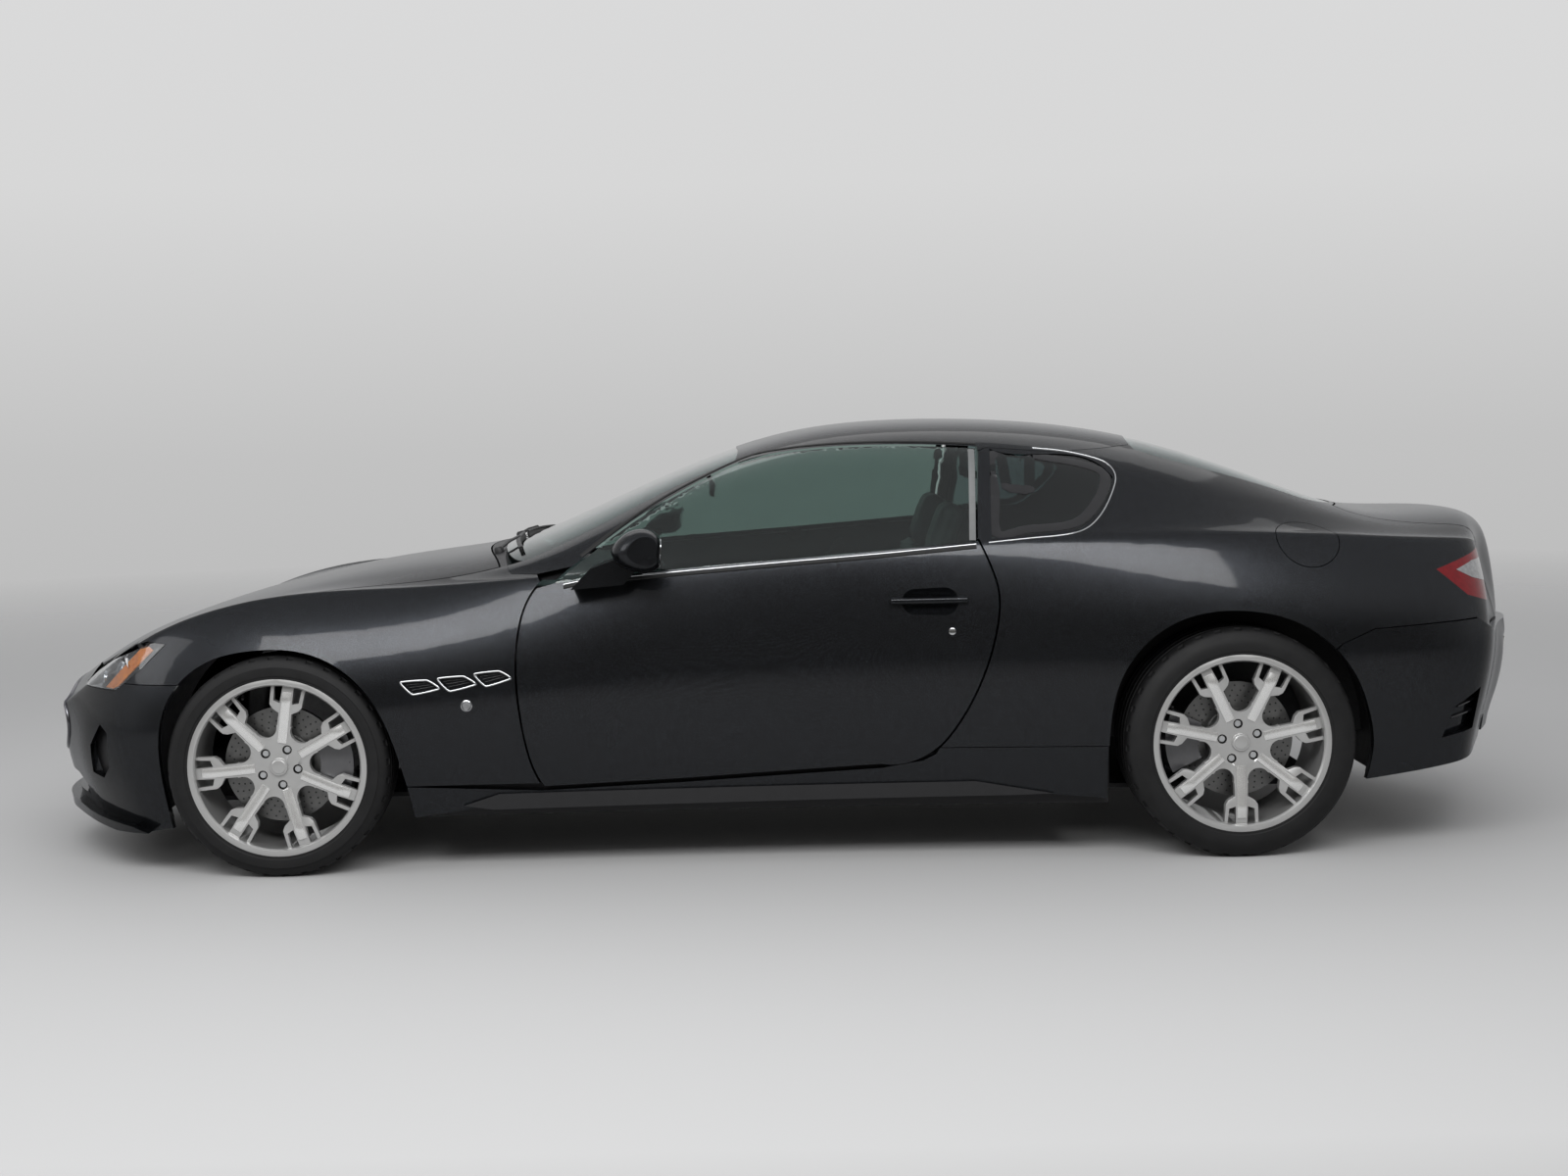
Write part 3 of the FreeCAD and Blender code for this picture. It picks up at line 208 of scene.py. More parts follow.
# black for pockets, holes and bores: painted shade where the real part is hollow
PAINTED_SHADE_BLACK = finish("black_painted_hole_shade", (0.012, 0.012, 0.012), 0.45, vary=0.4, scale=300, grain=0.001, grain_scale=400)
PLATE = finish("blank_plate_white", (0.62, 0.62, 0.60), 0.40, vary=0.03, scale=12)

NODE_MATERIALS = (
    (PAINT, "body_sides roof wings front_bumper rear_bumper side_skirts bonnet boot_lid door_left door_right "
            "fuel_flap mirror_left mirror_right splitter handle_left handle_right"),
    (GLASS, "door_glass_left door_glass_right"), (SCREEN_GLASS, "windscreen rear_window"),
    (DARK_GLASS, "quarter_windows"), (CLEAR, "headlamps"), (RED_LENS, "tail_lamps"),
    (GLOSS_BLACK, "sill_blades"), (BLACK_PLASTIC, "cowl intake_grilles wheel_liners"), (DARK_CHROME, "grille"),
    (PRIMER, "body_frame floor_pan firewall front_subframe"), (CARPET, "rear_bulkhead"), (CAST, "engine_block"),
    (CALIPER, "rear_axle knuckle_left knuckle_right"), (STEEL, "exhaust"), (LEATHER, "front_seats rear_seats"),
    (LEATHER_DASH, "dashboard steering_wheel"), (SILVER, "rim_"), (RUBBER, "tyre_"), (IRON, "brake_disc_"),
)
for mat, starts in NODE_MATERIALS:
    for name, node in nodes.items():
        if name.startswith(tuple(starts.split())):
            node.data.materials.clear()
            node.data.materials.append(mat)


# -------------------- mesh tools
def mesh_object(name, bm):
    # a bmesh put into the scene
    me = bpy.data.meshes.new(name)
    bm.to_mesh(me)
    bm.free()
    obj = bpy.data.objects.new(name, me)
    bpy.context.scene.collection.objects.link(obj)
    return obj


def node_copy(name, distance):
    # a CAD node's mesh with its points merged
    bm = bmesh.new()
    bm.from_mesh(nodes[name].data)
    bmesh.ops.remove_doubles(bm, verts=bm.verts, dist=distance)
    return bm


def piece(name, bm, mat, body, angle=32.0):
    # a finished mesh object riding on a body
    obj = mesh_object(name, bm)
    obj.data.materials.append(mat)
    obj.data.shade_smooth()
    obj.data.set_sharp_from_angle(angle=math.radians(angle))
    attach(obj, body)
    return obj


def lathe(bm, profile, steps, place=None):
    # (radius, height) pairs spun about Z, then placed by a matrix
    others = set(bm.verts)
    verts = [bm.verts.new((r, 0, h)) for r, h in profile]
    edges = [bm.edges.new((a, b)) for a, b in zip(verts, verts[1:])]
    bmesh.ops.spin(bm, geom=verts + edges, cent=(0, 0, 0), axis=(0, 0, 1), dvec=(0, 0, 0), angle=2 * math.pi,
                   steps=steps, use_merge=True)
    bmesh.ops.remove_doubles(bm, verts=[q for q in bm.verts if q not in others], dist=1e-6)
    mine = [q for q in bm.verts if q not in others]
    bmesh.ops.recalc_face_normals(bm, faces=list({f for q in mine for f in q.link_faces}))
    if place:
        bmesh.ops.transform(bm, matrix=place, verts=mine)


def plug(bm, radius, low, high, steps, place):
    # a plain round plug between two heights
    lathe(bm, [(0.0, low), (radius, low), (radius, high), (0.0, high)], steps, place)


def outward(bm):
    # all faces turned to look out
    bmesh.ops.recalc_face_normals(bm, faces=bm.faces[:])


def thicken(bm, thickness):
    # an open skin closed to a sheet
    bmesh.ops.solidify(bm, geom=bm.faces[:], thickness=thickness)
    outward(bm)


def stub(bm, segments, foot, top, depth, place):
    # a short capped cone centred on a place
    made = bmesh.ops.create_cone(bm, cap_ends=True, segments=segments, radius1=foot, radius2=top, depth=depth)
    bmesh.ops.transform(bm, matrix=place, verts=made["verts"])


def add(bm, part):
    # put one mesh into another
    me = bpy.data.meshes.new("part")
    part.to_mesh(me)
    part.free()
    bm.from_mesh(me)
    bpy.data.meshes.remove(me)


def facing(centre, axis):
    # matrix that puts local Z along an axis at a place
    z = Vector(axis).normalized()
    return Matrix.Translation(centre) @ z.to_track_quat("Z", "Y").to_matrix().to_4x4()


def sweep(bm, stations, section, closed=False):
    # section (across, out) carried along stations of (place, across axis, out axis)
    place, across, out = stations[0]
    ring = [bm.verts.new(place + across * a + out * o) for a, o in section]
    n = len(ring)
    edges = [bm.edges.new((ring[k], ring[(k + 1) % n])) for k in range(n)]
    start, faces = edges, []
    for place, across, out in stations[1:]:
        made = bmesh.ops.extrude_edge_only(bm, edges=edges)["geom"]
        fresh = {g for g in made if isinstance(g, bmesh.types.BMVert)}
        ring = [[e.other_vert(q) for e in q.link_edges if e.other_vert(q) in fresh][0] for q in ring]
        for q, (a, o) in zip(ring, section):
            q.co = place + across * a + out * o
        edges = [bm.edges.get((ring[k], ring[(k + 1) % n])) for k in range(n)]
        faces += [g for g in made if isinstance(g, bmesh.types.BMFace)]
    if closed:
        faces += bmesh.ops.bridge_loops(bm, edges=start + edges)["faces"]
    else:
        faces += bmesh.ops.contextual_create(bm, geom=start)["faces"]
        faces += bmesh.ops.contextual_create(bm, geom=edges)["faces"]
    bmesh.ops.recalc_face_normals(bm, faces=faces)


def surface(names):
    # the shown skin of some CAD nodes, to lay trim on
    verts, polys = [], []
    for name in names:
        me = nodes[name].data
        base = len(verts)
        verts += [q.co.copy() for q in me.vertices]
        polys += [[base + i for i in p.vertices] for p in me.polygons]
    return BVHTree.FromPolygons(verts, polys)


def on_side(tree, x, z, sign):
    # the outermost point of a side at (x, z), with its outward normal
    spot, normal, _, _ = tree.ray_cast(Vector((x, sign * 1.4, z)), Vector((0, -sign, 0)))
    if spot is None:
        spot, normal, _, _ = tree.find_nearest(Vector((x, sign * 0.86, z)))
    if normal.y * sign < 0:
        normal = -normal
    return spot, normal


def spline(points, count, closed=False):
    # evenly spread points on a smooth line through the given ones
    pts = [Vector(p) for p in points]
    n = len(pts)
    get = (lambda i: pts[i % n]) if closed else (lambda i: pts[max(0, min(n - 1, i))])
    fine = []
    spans = n if closed else n - 1
    for i in range(spans):
        a, b, c, d = get(i - 1), get(i), get(i + 1), get(i + 2)
        for k in range(24):
            t = k / 24.0
            fine.append(0.5 * ((2 * b) + (c - a) * t + (2 * a - 5 * b + 4 * c - d) * t * t
                               + (3 * b - a - 3 * c + d) * t ** 3))
    fine.append(get(spans).copy() if closed else pts[-1].copy())
    lengths = [0.0]
    for p, q in zip(fine, fine[1:]):
        lengths.append(lengths[-1] + (q - p).length)
    out = []
    total = lengths[-1]
    steps = count if closed else count - 1
    j = 0
    for k in range(count):
        want = total * k / steps
        while j < len(lengths) - 2 and lengths[j + 1] < want:
            j += 1
        gap = lengths[j + 1] - lengths[j] or 1
        out.append(fine[j].lerp(fine[j + 1], (want - lengths[j]) / gap))
    return out


def bead(width, height):
    # section of a rounded strip, its foot just below the surface
    return [(-width / 2, -0.002), (-width / 2, height * 0.5), (-width * 0.3, height * 0.9), (0, height),
            (width * 0.3, height * 0.9), (width / 2, height * 0.5), (width / 2, -0.002)]


def strip(bm, spots, width, height, closed=False, lift=0.0):
    # a strip through (place, normal) spots, its normals evened out
    n = len(spots)
    near = (lambda i: spots[i % n]) if closed else (lambda i: spots[max(0, min(n - 1, i))])
    stations = []
    for i in range(n):
        normal = sum((near(i + d)[1] for d in (-2, -1, 0, 1, 2)), Vector()).normalized()
        across = (near(i + 1)[0] - near(i - 1)[0]).cross(normal).normalized()
        stations.append((near(i)[0] + normal * lift, across, normal))
    sweep(bm, stations, bead(width, height), closed)


def strip_on_side(bm, tree, outline, sign, width, height, count, closed=False):
    # a strip laid on one side of the body along an (x, z) line
    line = spline([(x, 0, z) for x, z in outline], count, closed)
    strip(bm, [on_side(tree, p.x, p.z, sign) for p in line], width, height, closed)


def laid(name, tree, outline, sign, width, height, count, mat, body, closed=False):
    # a strip on one side of the body as a piece of its own
    bm = bmesh.new()
    strip_on_side(bm, tree, outline, sign, width, height, count, closed)
    piece(name, bm, mat, body, 60)


def seen_from(tree, start, aim):
    # where a ray first meets a surface, with the normal there turned back along the ray
    spot, normal, _, _ = tree.ray_cast(Vector(start), Vector(aim))
    if spot is None:
        spot, normal, _, _ = tree.find_nearest(Vector(start))
    return (spot, -normal) if normal.dot(Vector(aim)) > 0 else (spot, normal)


# -------------------- camera and studio
YAW, PITCH, ROLL = -0.0107, -0.0837, -0.0204
# forward, right and up of a camera on the car's left
F, R, U = Vector((0, -1, 0)), Vector((-1, 0, 0)), Vector((0, 0, 1))
turn = Matrix.Rotation(YAW, 3, "Z")
F, R = turn @ F, turn @ R
F, U = F * math.cos(PITCH) + U * math.sin(PITCH), U * math.cos(PITCH) - F * math.sin(PITCH)
R, U = R * math.cos(ROLL) + U * math.sin(ROLL), U * math.cos(ROLL) - R * math.sin(ROLL)
lens = bpy.data.cameras.new("camera")
lens.sensor_width = 36.0
lens.lens = 51.36
camera = bpy.data.objects.new("camera", lens)
camera.matrix_world = Matrix.Translation((0.0883, 7.6663, 1.4243)) @ Matrix((R, U, -F)).transposed().to_4x4()
bpy.context.scene.collection.objects.link(camera)
bpy.context.scene.camera = camera
bpy.context.scene.view_settings.view_transform = "Standard"


def studio():
    # pale room, floor that fades into it, and three soft lamps
    world = bpy.data.worlds.new("studio")
    bpy.context.scene.world = world
    world.use_nodes = True
    tree = world.node_tree
    back = tree.nodes["Background"]
    coords = tree.nodes.new("ShaderNodeTexCoord")
    split = tree.nodes.new("ShaderNodeSeparateXYZ")
    tree.links.new(coords.outputs["Generated"], split.inputs[0])
    sky = ramp(tree, spread(tree, split.outputs["Z"], 0.0, 1.0, -0.25, 0.9),
               [(0.0, (0.42, 0.42, 0.42)), (0.20, (0.54, 0.54, 0.54)), (0.30, (0.68, 0.68, 0.68)),
                (0.45, (0.72, 0.72, 0.725)), (1.0, (0.64, 0.645, 0.66))])
    # one side of the room is in shade near the floor
    shade = tree.nodes.new("ShaderNodeMath")
    shade.operation = "MULTIPLY"
    tree.links.new(spread(tree, split.outputs["Y"], 0.0, 1.0, 0.25, 0.85), shade.inputs[0])
    tree.links.new(spread(tree, split.outputs["Z"], 1.0, 0.0, 0.10, 0.48), shade.inputs[1])
    mix = tree.nodes.new("ShaderNodeMix")
    mix.data_type = "RGBA"
    tree.links.new(shade.outputs[0], mix.inputs["Factor"])
    tree.links.new(sky, mix.inputs["A"])
    mix.inputs["B"].default_value = (0.14, 0.135, 0.125, 1)
    tree.links.new(mix.outputs["Result"], back.inputs[0])

    bm = bmesh.new()
    bmesh.ops.create_circle(bm, cap_ends=True, segments=96, radius=14.0)
    floor = mesh_object("studio_floor", bm)
    mat, tree, bsdf, coords = shader("pale_floor")
    # pale around the car, dark well in front of it
    split = tree.nodes.new("ShaderNodeSeparateXYZ")
    tree.links.new(coords, split.inputs[0])
    ahead = spread(tree, split.outputs["Y"], 0.0, 1.0, 3.5, 6.0)
    tones = ramp(tree, ahead, [(0.0, (0.42, 0.42, 0.42)), (1.0, (0.05, 0.047, 0.04))])
    tree.links.new(tones, bsdf.inputs["Base Color"])
    dial(bsdf, Roughness=0.7, Specular_IOR_Level=0.2)
    length = tree.nodes.new("ShaderNodeVectorMath")
    length.operation = "LENGTH"
    tree.links.new(coords, length.inputs[0])
    fade = spread(tree, length.outputs["Value"], 1.0, 0.0, 4.5, 13.5)
    tree.links.new(fade, bsdf.inputs["Alpha"])
    floor.data.materials.append(mat)

    def lamp(name, place, target, size_x, size_y, power):
        data = bpy.data.lights.new(name, "AREA")
        data.shape = "RECTANGLE"
        data.size, data.size_y = size_x, size_y
        data.energy = power
        obj = bpy.data.objects.new(name, data)
        aim = (Vector(target) - Vector(place)).normalized()
        obj.matrix_world = Matrix.Translation(place) @ aim.to_track_quat("-Z", "Y").to_matrix().to_4x4()
        bpy.context.scene.collection.objects.link(obj)

    lamp("softbox_side", (0.4, 5.2, 4.3), (0, 0.6, 0.6), 6.4, 2.2, 340)
    lamp("softbox_back", (0.0, -3.4, 4.8), (0, 0, 0.8), 7.0, 2.4, 45)
    lamp("softbox_front", (5.6, 2.6, 3.2), (1.5, 0, 0.6), 2.4, 2.4, 45)


studio()


# -------------------- wheels
def tyre(name, radius, width, centre, sign, body):
    # bead, ribbed sidewall and shoulder, then grooves round the tread
    w = width / 2
    outline = [(0.2625, w - 0.019), (0.269, w - 0.012), (0.2745, w - 0.005), (0.28, w - 0.0046),
               (0.283, w - 0.0016), (0.296, w - 0.0004), (0.308, w - 0.001), (radius - 0.031, w - 0.004),
               (radius - 0.028, w - 0.006), (radius - 0.017, w - 0.01), (radius - 0.009, w - 0.0165),
               (radius - 0.004, w - 0.025), (radius - 0.001, w - 0.036)]
    for y in (w * 0.50, w * 0.17):
        outline += [(radius - 0.0004, y + 0.0055), (radius - 0.007, y + 0.0045), (radius - 0.007, y - 0.0045),
                    (radius - 0.0002, y - 0.0055)]
    outline += [(r, -y) for r, y in reversed(outline)]
    bm = bmesh.new()
    lathe(bm, outline + outline[:1], TYRE_STEPS)
    # sipes across both shoulders
    cuts = []
    for f in bm.faces:
        c = f.calc_center_median()
        r = math.hypot(c.x, c.y)
        if r > radius - 0.0125 and w - 0.04 < abs(c.z) < w - 0.012:
            if int((math.atan2(c.y, c.x) + math.pi) / (2 * math.pi) * TYRE_STEPS + 0.01) % 3 == 0:
                cuts.append(f)
    bmesh.ops.inset_region(bm, faces=cuts, thickness=0.0014, depth=-0.0045, use_even_offset=True)
    bmesh.ops.transform(bm, matrix=facing(centre, (0, sign, 0)), verts=bm.verts)
    obj = piece(name, bm, RUBBER, body, 38)
    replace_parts(obj, name.replace("_rubber", ""))


def hub_fittings(name, centre, sign, face_y, first, body):
    # wheel bolts in wells painted black as shade, raised spoke beams, plain centre cap and tyre valve
    x, y, z = centre
    axis = (0, sign, 0)
    bm, painted_shade_wells = bmesh.new(), bmesh.new()
    for k in range(BOLTS):
        a = math.radians(k * 360 / BOLTS + 18 - first)
        at = (x + math.cos(a) * BOLT_CIRCLE, y + sign * (face_y - 0.0035), z + math.sin(a) * BOLT_CIRCLE)
        seat = facing(at, axis)
        stub(bm, 6, 0.0094, 0.0088, 0.01, seat)
        lathe(bm, [(0.0, -0.004), (0.0106, -0.004), (0.0106, -0.0005), (0.0098, 0.001), (0.0, 0.001)], 24, seat)
        # black cup round each bolt: painted shade of the bolt pocket
        lathe(painted_shade_wells, [(0.01, -0.007), (0.0143, -0.007), (0.0143, 0.0068), (0.014, 0.0068), (0.014, -0.005),
                      (0.01, -0.005), (0.01, -0.007)], 28, seat)
    piece(name + "_bolt_wells_painted_shade", painted_shade_wells, PAINTED_SHADE_BLACK, body, 30)
    piece(name + "_bolts", bm, CHROME, body, 25)
    bm, skin = bmesh.new(), surface(["rim_" + name.replace("wheel_", "")])
    for k in range(SPOKES):
        a = -math.radians(k * 360 / SPOKES + first)
        ray = Vector((math.cos(a), 0, math.sin(a)))
        line = [Vector((x, y, z)) + ray * (0.074 + 0.158 * i / 12) for i in range(13)]
        strip(bm, [on_side(skin, p.x, p.z, sign) for p in line], 0.027, 0.0026, False, 0.0016)
    piece(name + "_beams", bm, BRIGHT, body, 40)
    bm = bmesh.new()
    lathe(bm, [(0.0, 0.0092), (0.012, 0.009), (0.02, 0.008), (0.0225, 0.006), (0.0238, 0.0062), (0.0262, 0.0054),
               (0.0276, 0.003), (0.028, 0.0), (0.028, -0.004), (0.0, -0.004)], 48,
          facing((x, y + sign * (face_y + 0.0075), z), axis))
    piece(name + "_cap", bm, SILVER, body, 30)
    bm = bmesh.new()
    a = math.radians(first + 36)
    at = (x + math.cos(a) * 0.243, y + sign * (face_y - 0.03), z - math.sin(a) * 0.243)
    lathe(bm, [(0.0, 0.0), (0.0052, 0.0), (0.0056, 0.01), (0.004, 0.013), (0.004, 0.024), (0.0036, 0.0262),
               (0.0, 0.0262)], 16, facing(at, (-math.cos(a) * 0.4, sign, math.sin(a) * 0.4)))
    piece(name + "_valve", bm, BLACK_PLASTIC, body, 30)


def disc_hole_shade(name, centre, sign, body):
    # small black discs over the swept face of a brake disc: painted shade where its drilled holes are
    bm = bmesh.new()
    x, y, z = centre
    for k in range(36):
        for j, r in enumerate((0.118, 0.134, 0.15, 0.165)):
            a = math.radians(k * 10 + j * 3.2)
            at = (x + math.cos(a) * r, y + sign * 0.0252, z + math.sin(a) * r)
            stub(bm, 10, 0.003, 0.003, 0.002, facing(at, (0, sign, 0)))
    piece(name, bm, PAINTED_SHADE_BLACK, body)


def dressed_rim(name, body):
    # the rim with its machined edges eased
    bm = node_copy(name, 2e-5)
    bmesh.ops.dissolve_limit(bm, angle_limit=math.radians(1.0), verts=bm.verts, edges=bm.edges)
    x, y, z = WHEELS[name[4:]]
    sharp = []
    for e in bm.edges:
        if len(e.link_faces) != 2 or e.calc_face_angle() < math.radians(38) or e.calc_length() < 0.004:
            continue
        m = (e.verts[0].co + e.verts[1].co) / 2
        if abs(m.y) - abs(y) > 0.05 and math.hypot(m.x - x, m.z - z) > 0.085:
            sharp.append(e)
    bmesh.ops.bevel(bm, geom=sharp, offset=0.0013, offset_type="OFFSET", affect="EDGES", segments=2, profile=0.5,
                    material=-1, clamp_overlap=True)
    obj = piece(name + "_eased", bm, SILVER, body, 30)
    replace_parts(obj, name)


for corner, centre in WHEELS.items():
    sign = 1 if corner.endswith("left") else -1
    in_front = corner.startswith("front")
    radius, width, turned = (FRONT_R, FRONT_W, FRONT_TURN) if in_front else (REAR_R, REAR_W, REAR_TURN)
    face_y = 0.08 + (width - FRONT_W) / 2       # from the wheel's middle to its hub face
    body = "wheel_" + corner
    dressed_rim("rim_" + corner, body)
    tyre("tyre_%s_rubber" % corner, radius, width, centre, sign, body)
    hub_fittings("wheel_" + corner, centre, sign, face_y, turned, body)
    disc_hole_shade("disc_drilling_shade_" + corner, centre, sign, body)


# -------------------- side windows cut through the inner frame
DOOR_GLASS = [(0.724, 0.877), (0.313, 0.91), (0.014, 0.93), (-0.286, 0.951), (-0.576, 0.974), (-0.602, 1.264),
              (-0.452, 1.273), (-0.30, 1.276), (-0.147, 1.273), (0.005, 1.26), (0.128, 1.235), (0.313, 1.153),
              (0.436, 1.085), (0.623, 0.956)]
WINDOW_EDGE = 0.005         # how far outside the glass the frame's edge lies
CUT_Y = (0.40, 1.10)        # how far out the cutters begin and end


def grown_line(outline, d):
    # a closed (x, z) outline pushed out from its middle
    mx, mz = sum(p[0] for p in outline) / len(outline), sum(p[1] for p in outline) / len(outline)
    out = []
    for i, p in enumerate(outline):
        a, b = Vector(outline[i - 1]), Vector(outline[(i + 1) % len(outline)])
        here = Vector(p)
        n1, n2 = (here - a).orthogonal().normalized(), (b - here).orthogonal().normalized()
        if (here - Vector((mx, mz))).dot(n1 + n2) < 0:
            n1, n2 = -n1, -n2
        m = (n1 + n2).normalized()
        out.append(tuple(here + m * (d / max(m.dot(n1), 0.5))))
    return out


def frame_with_windows():
    # the inner frame again, open behind both door glasses
    obj = mesh_object("body_frame_open", node_copy("body_frame", 1e-6))
    cutters = bmesh.new()
    rim = spline([(x, 0, z) for x, z in grown_line(DOOR_GLASS[5:] + DOOR_GLASS[:1], WINDOW_EDGE)], 60)
    foot = [Vector((x, 0, z)) for x, z in grown_line(DOOR_GLASS, WINDOW_EDGE)[1:5]]
    for _, sign in SIDES:
        part = bmesh.new()
        loop = [part.verts.new((p.x, CUT_Y[0] * sign, p.z)) for p in rim + foot]
        made = bmesh.ops.extrude_face_region(part, geom=[part.faces.new(loop)])["geom"]
        moved = [g for g in made if isinstance(g, bmesh.types.BMVert)]
        bmesh.ops.translate(part, vec=(0, (CUT_Y[1] - CUT_Y[0]) * sign, 0), verts=moved)
        outward(part)
        add(cutters, part)
    tool = mesh_object("window_cutters", cutters)
    cut = obj.modifiers.new("cut", "BOOLEAN")
    cut.operation = "DIFFERENCE"
    cut.solver = "MANIFOLD"
    cut.object = tool
    bpy.context.view_layer.update()
    done = bpy.data.meshes.new_from_object(obj.evaluated_get(bpy.context.evaluated_depsgraph_get()))
    bpy.data.objects.remove(obj)
    bpy.data.objects.remove(tool)
    bm = bmesh.new()
    bm.from_mesh(done)
    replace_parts(piece("inner_frame", bm, PRIMER, "shell", 35), "body_frame")


frame_with_windows()


# -------------------- trim on the sides
UPPER = surface(["door_left", "door_right", "body_sides", "roof", "wings", "side_skirts"])
SIDE_SKIN = surface(["door_left", "door_right", "body_sides", "wings", "side_skirts", "front_bumper", "rear_bumper"])
DOOR_STRIP = [(0.69, 0.876), (0.60, 0.889), (0.313, 0.911), (0.014, 0.932), (-0.286, 0.952), (-0.574, 0.975)]
QUARTER_STRIP = [(-0.612, 0.979), (-0.735, 0.989), (-0.85, 0.998), (-0.915, 1.014), (-0.965, 1.052), (-1.005, 1.105),
                 (-1.032, 1.162), (-1.018, 1.20), (-0.975, 1.223), (-0.88, 1.246), (-0.78, 1.258)]
ROOF_SEAL = [(0.64, 0.957), (0.54, 1.03), (0.439, 1.097), (0.318, 1.163), (0.132, 1.245), (0.006, 1.271),
             (-0.147, 1.284), (-0.30, 1.287), (-0.452, 1.284), (-0.60, 1.275)]
BELT_SEAL = [(x, z - 0.0085) for x, z in DOOR_STRIP]
PILLAR_STRIP = [(-0.564, 0.985), (-0.572, 1.08), (-0.584, 1.257)]
QUARTER_RING = [(-0.64, 1.006), (-0.735, 1.015), (-0.884, 1.031), (-0.966, 1.096), (-0.999, 1.162), (-0.97, 1.193),
                (-0.85, 1.222), (-0.655, 1.242), (-0.645, 1.12)]
for side, sign in SIDES:
    door = "door_assembly_" + side
    laid("chrome_door_strip_" + side, UPPER, DOOR_STRIP, sign, 0.0055, 0.003, 60, CHROME, door)
    laid("door_belt_seal_" + side, UPPER, BELT_SEAL, sign, 0.01, 0.003, 60, SEAL, door)
    laid("chrome_quarter_strip_" + side, UPPER, QUARTER_STRIP, sign, 0.0045, 0.003, 60, CHROME, "shell")
    laid("roof_seal_" + side, UPPER, ROOF_SEAL, sign, 0.013, 0.0025, 70, SEAL, "shell")
    # satin strip on the rear edge of the door glass, gloss frame printed inside the quarter glass
    laid("pillar_strip_" + side, surface(["door_glass_" + side]), PILLAR_STRIP, sign, 0.02, 0.003, 24, SATIN, door)
    laid("quarter_window_frame_" + side, surface(["quarter_windows"]), QUARTER_RING, sign, 0.033, 0.0015, 90,
         GLOSS_BLACK, "shell", closed=True)
    # key lock and round side marker
    bm = bmesh.new()
    spot, normal = on_side(SIDE_SKIN, -0.494, 0.713, sign)
    lathe(bm, [(0.0, 0.0028), (0.008, 0.0028), (0.0105, 0.002), (0.0118, 0.0), (0.0118, -0.004), (0.0, -0.004)], 28,
          facing(spot, normal))
    piece("key_lock_" + side, bm, CHROME, door, 30)
    marker, ring = bmesh.new(), bmesh.new()
    spot, normal = on_side(SIDE_SKIN, 0.989, 0.518, sign)
    seat = facing(spot, normal)
    lathe(marker, [(0.0, 0.0058), (0.006, 0.0054), (0.011, 0.0038), (0.013, 0.001), (0.013, -0.004),
                   (0.0, -0.004)], 32, seat)
    lathe(ring, [(0.0132, 0.001), (0.015, 0.0032), (0.0172, 0.0022), (0.018, -0.003), (0.0132, -0.003),
                 (0.0132, 0.001)], 32, seat)
    piece("side_marker_" + side, marker, FROST, "shell", 30)
    piece("side_marker_ring_" + side, ring, CHROME, "shell", 30)


VENTS = [[(1.182, 0.593), (1.106, 0.596), (1.073, 0.574), (1.149, 0.56)],
         [(1.07, 0.601), (0.996, 0.605), (0.963, 0.584), (1.038, 0.567)],
         [(0.959, 0.612), (0.888, 0.618), (0.857, 0.599), (0.928, 0.579)]]
CORNER_SLATS = (((-2.03, 0.408), (-2.112, 0.424)), ((-2.052, 0.442), (-2.118, 0.458)))
for side, sign in SIDES:
    rings, grids = bmesh.new(), bmesh.new()
    for outline in VENTS:
        rounded = []
        wide = grown_line(outline, 0.004)
        for i, p in enumerate(wide):
            for q in (wide[i - 1], wide[(i + 1) % 4]):
                rounded.append((p[0] + (q[0] - p[0]) * 0.14, p[1] + (q[1] - p[1]) * 0.14))
        strip_on_side(rings, SIDE_SKIN, rounded, sign, 0.006, 0.0034, 64, closed=True)
        for t in (0.25, 0.50, 0.75):
            a = Vector(outline[3]).lerp(Vector(outline[0]), t)
            b = Vector(outline[2]).lerp(Vector(outline[1]), t)
            a, b = a.lerp(b, 0.06), b.lerp(a, 0.06)
            strip_on_side(grids, SIDE_SKIN, [(a.x, a.y), (b.x, b.y)], sign, 0.003, 0.004, 6)
    piece("vent_frames_" + side, rings, CHROME, "shell", 50)
    piece("vent_louvres_" + side, grids, GLOSS_BLACK, "shell", 50)
    slats = bmesh.new()
    for ends in CORNER_SLATS:
        strip_on_side(slats, SIDE_SKIN, ends, sign, 0.008, 0.01, 8)
    piece("corner_vent_slats_" + side, slats, GLOSS_BLACK, "shell", 50)


# -------------------- lamps
HEADLAMP_RIM = [(2.263, 0.5745), (2.083, 0.5755), (1.994, 0.641), (1.915, 0.718), (1.977, 0.7235), (2.052, 0.7015),
                (2.139, 0.6495), (2.264, 0.6005)]
AMBER_BAR = [(2.098, 0.579), (2.075, 0.5885), (1.957, 0.701), (1.972, 0.711), (2.002, 0.702), (2.128, 0.58)]
TAIL_INSERT = [(-2.062, 0.8615), (-2.13, 0.885), (-2.42, 0.905), (-2.42, 0.818), (-2.19, 0.816), (-2.118, 0.835)]
PROJECTORS = ((2.088, 0.634, 0.024), (2.16, 0.606, 0.018))     # x, z and radius of each


def biggest_island(bm):
    # leave only the largest connected patch
    left, groups = set(bm.faces), []
    while left:
        stack, seen = [left.pop()], []
        while stack:
            f = stack.pop()
            seen.append(f)
            near = {g for e in f.edges for g in e.link_faces if g in left}
            left -= near
            stack += near
        groups.append(seen)
    groups.sort(key=lambda g: -sum(f.calc_area() for f in g))
    for g in groups[1:]:
        bmesh.ops.delete(bm, geom=g, context="FACES")


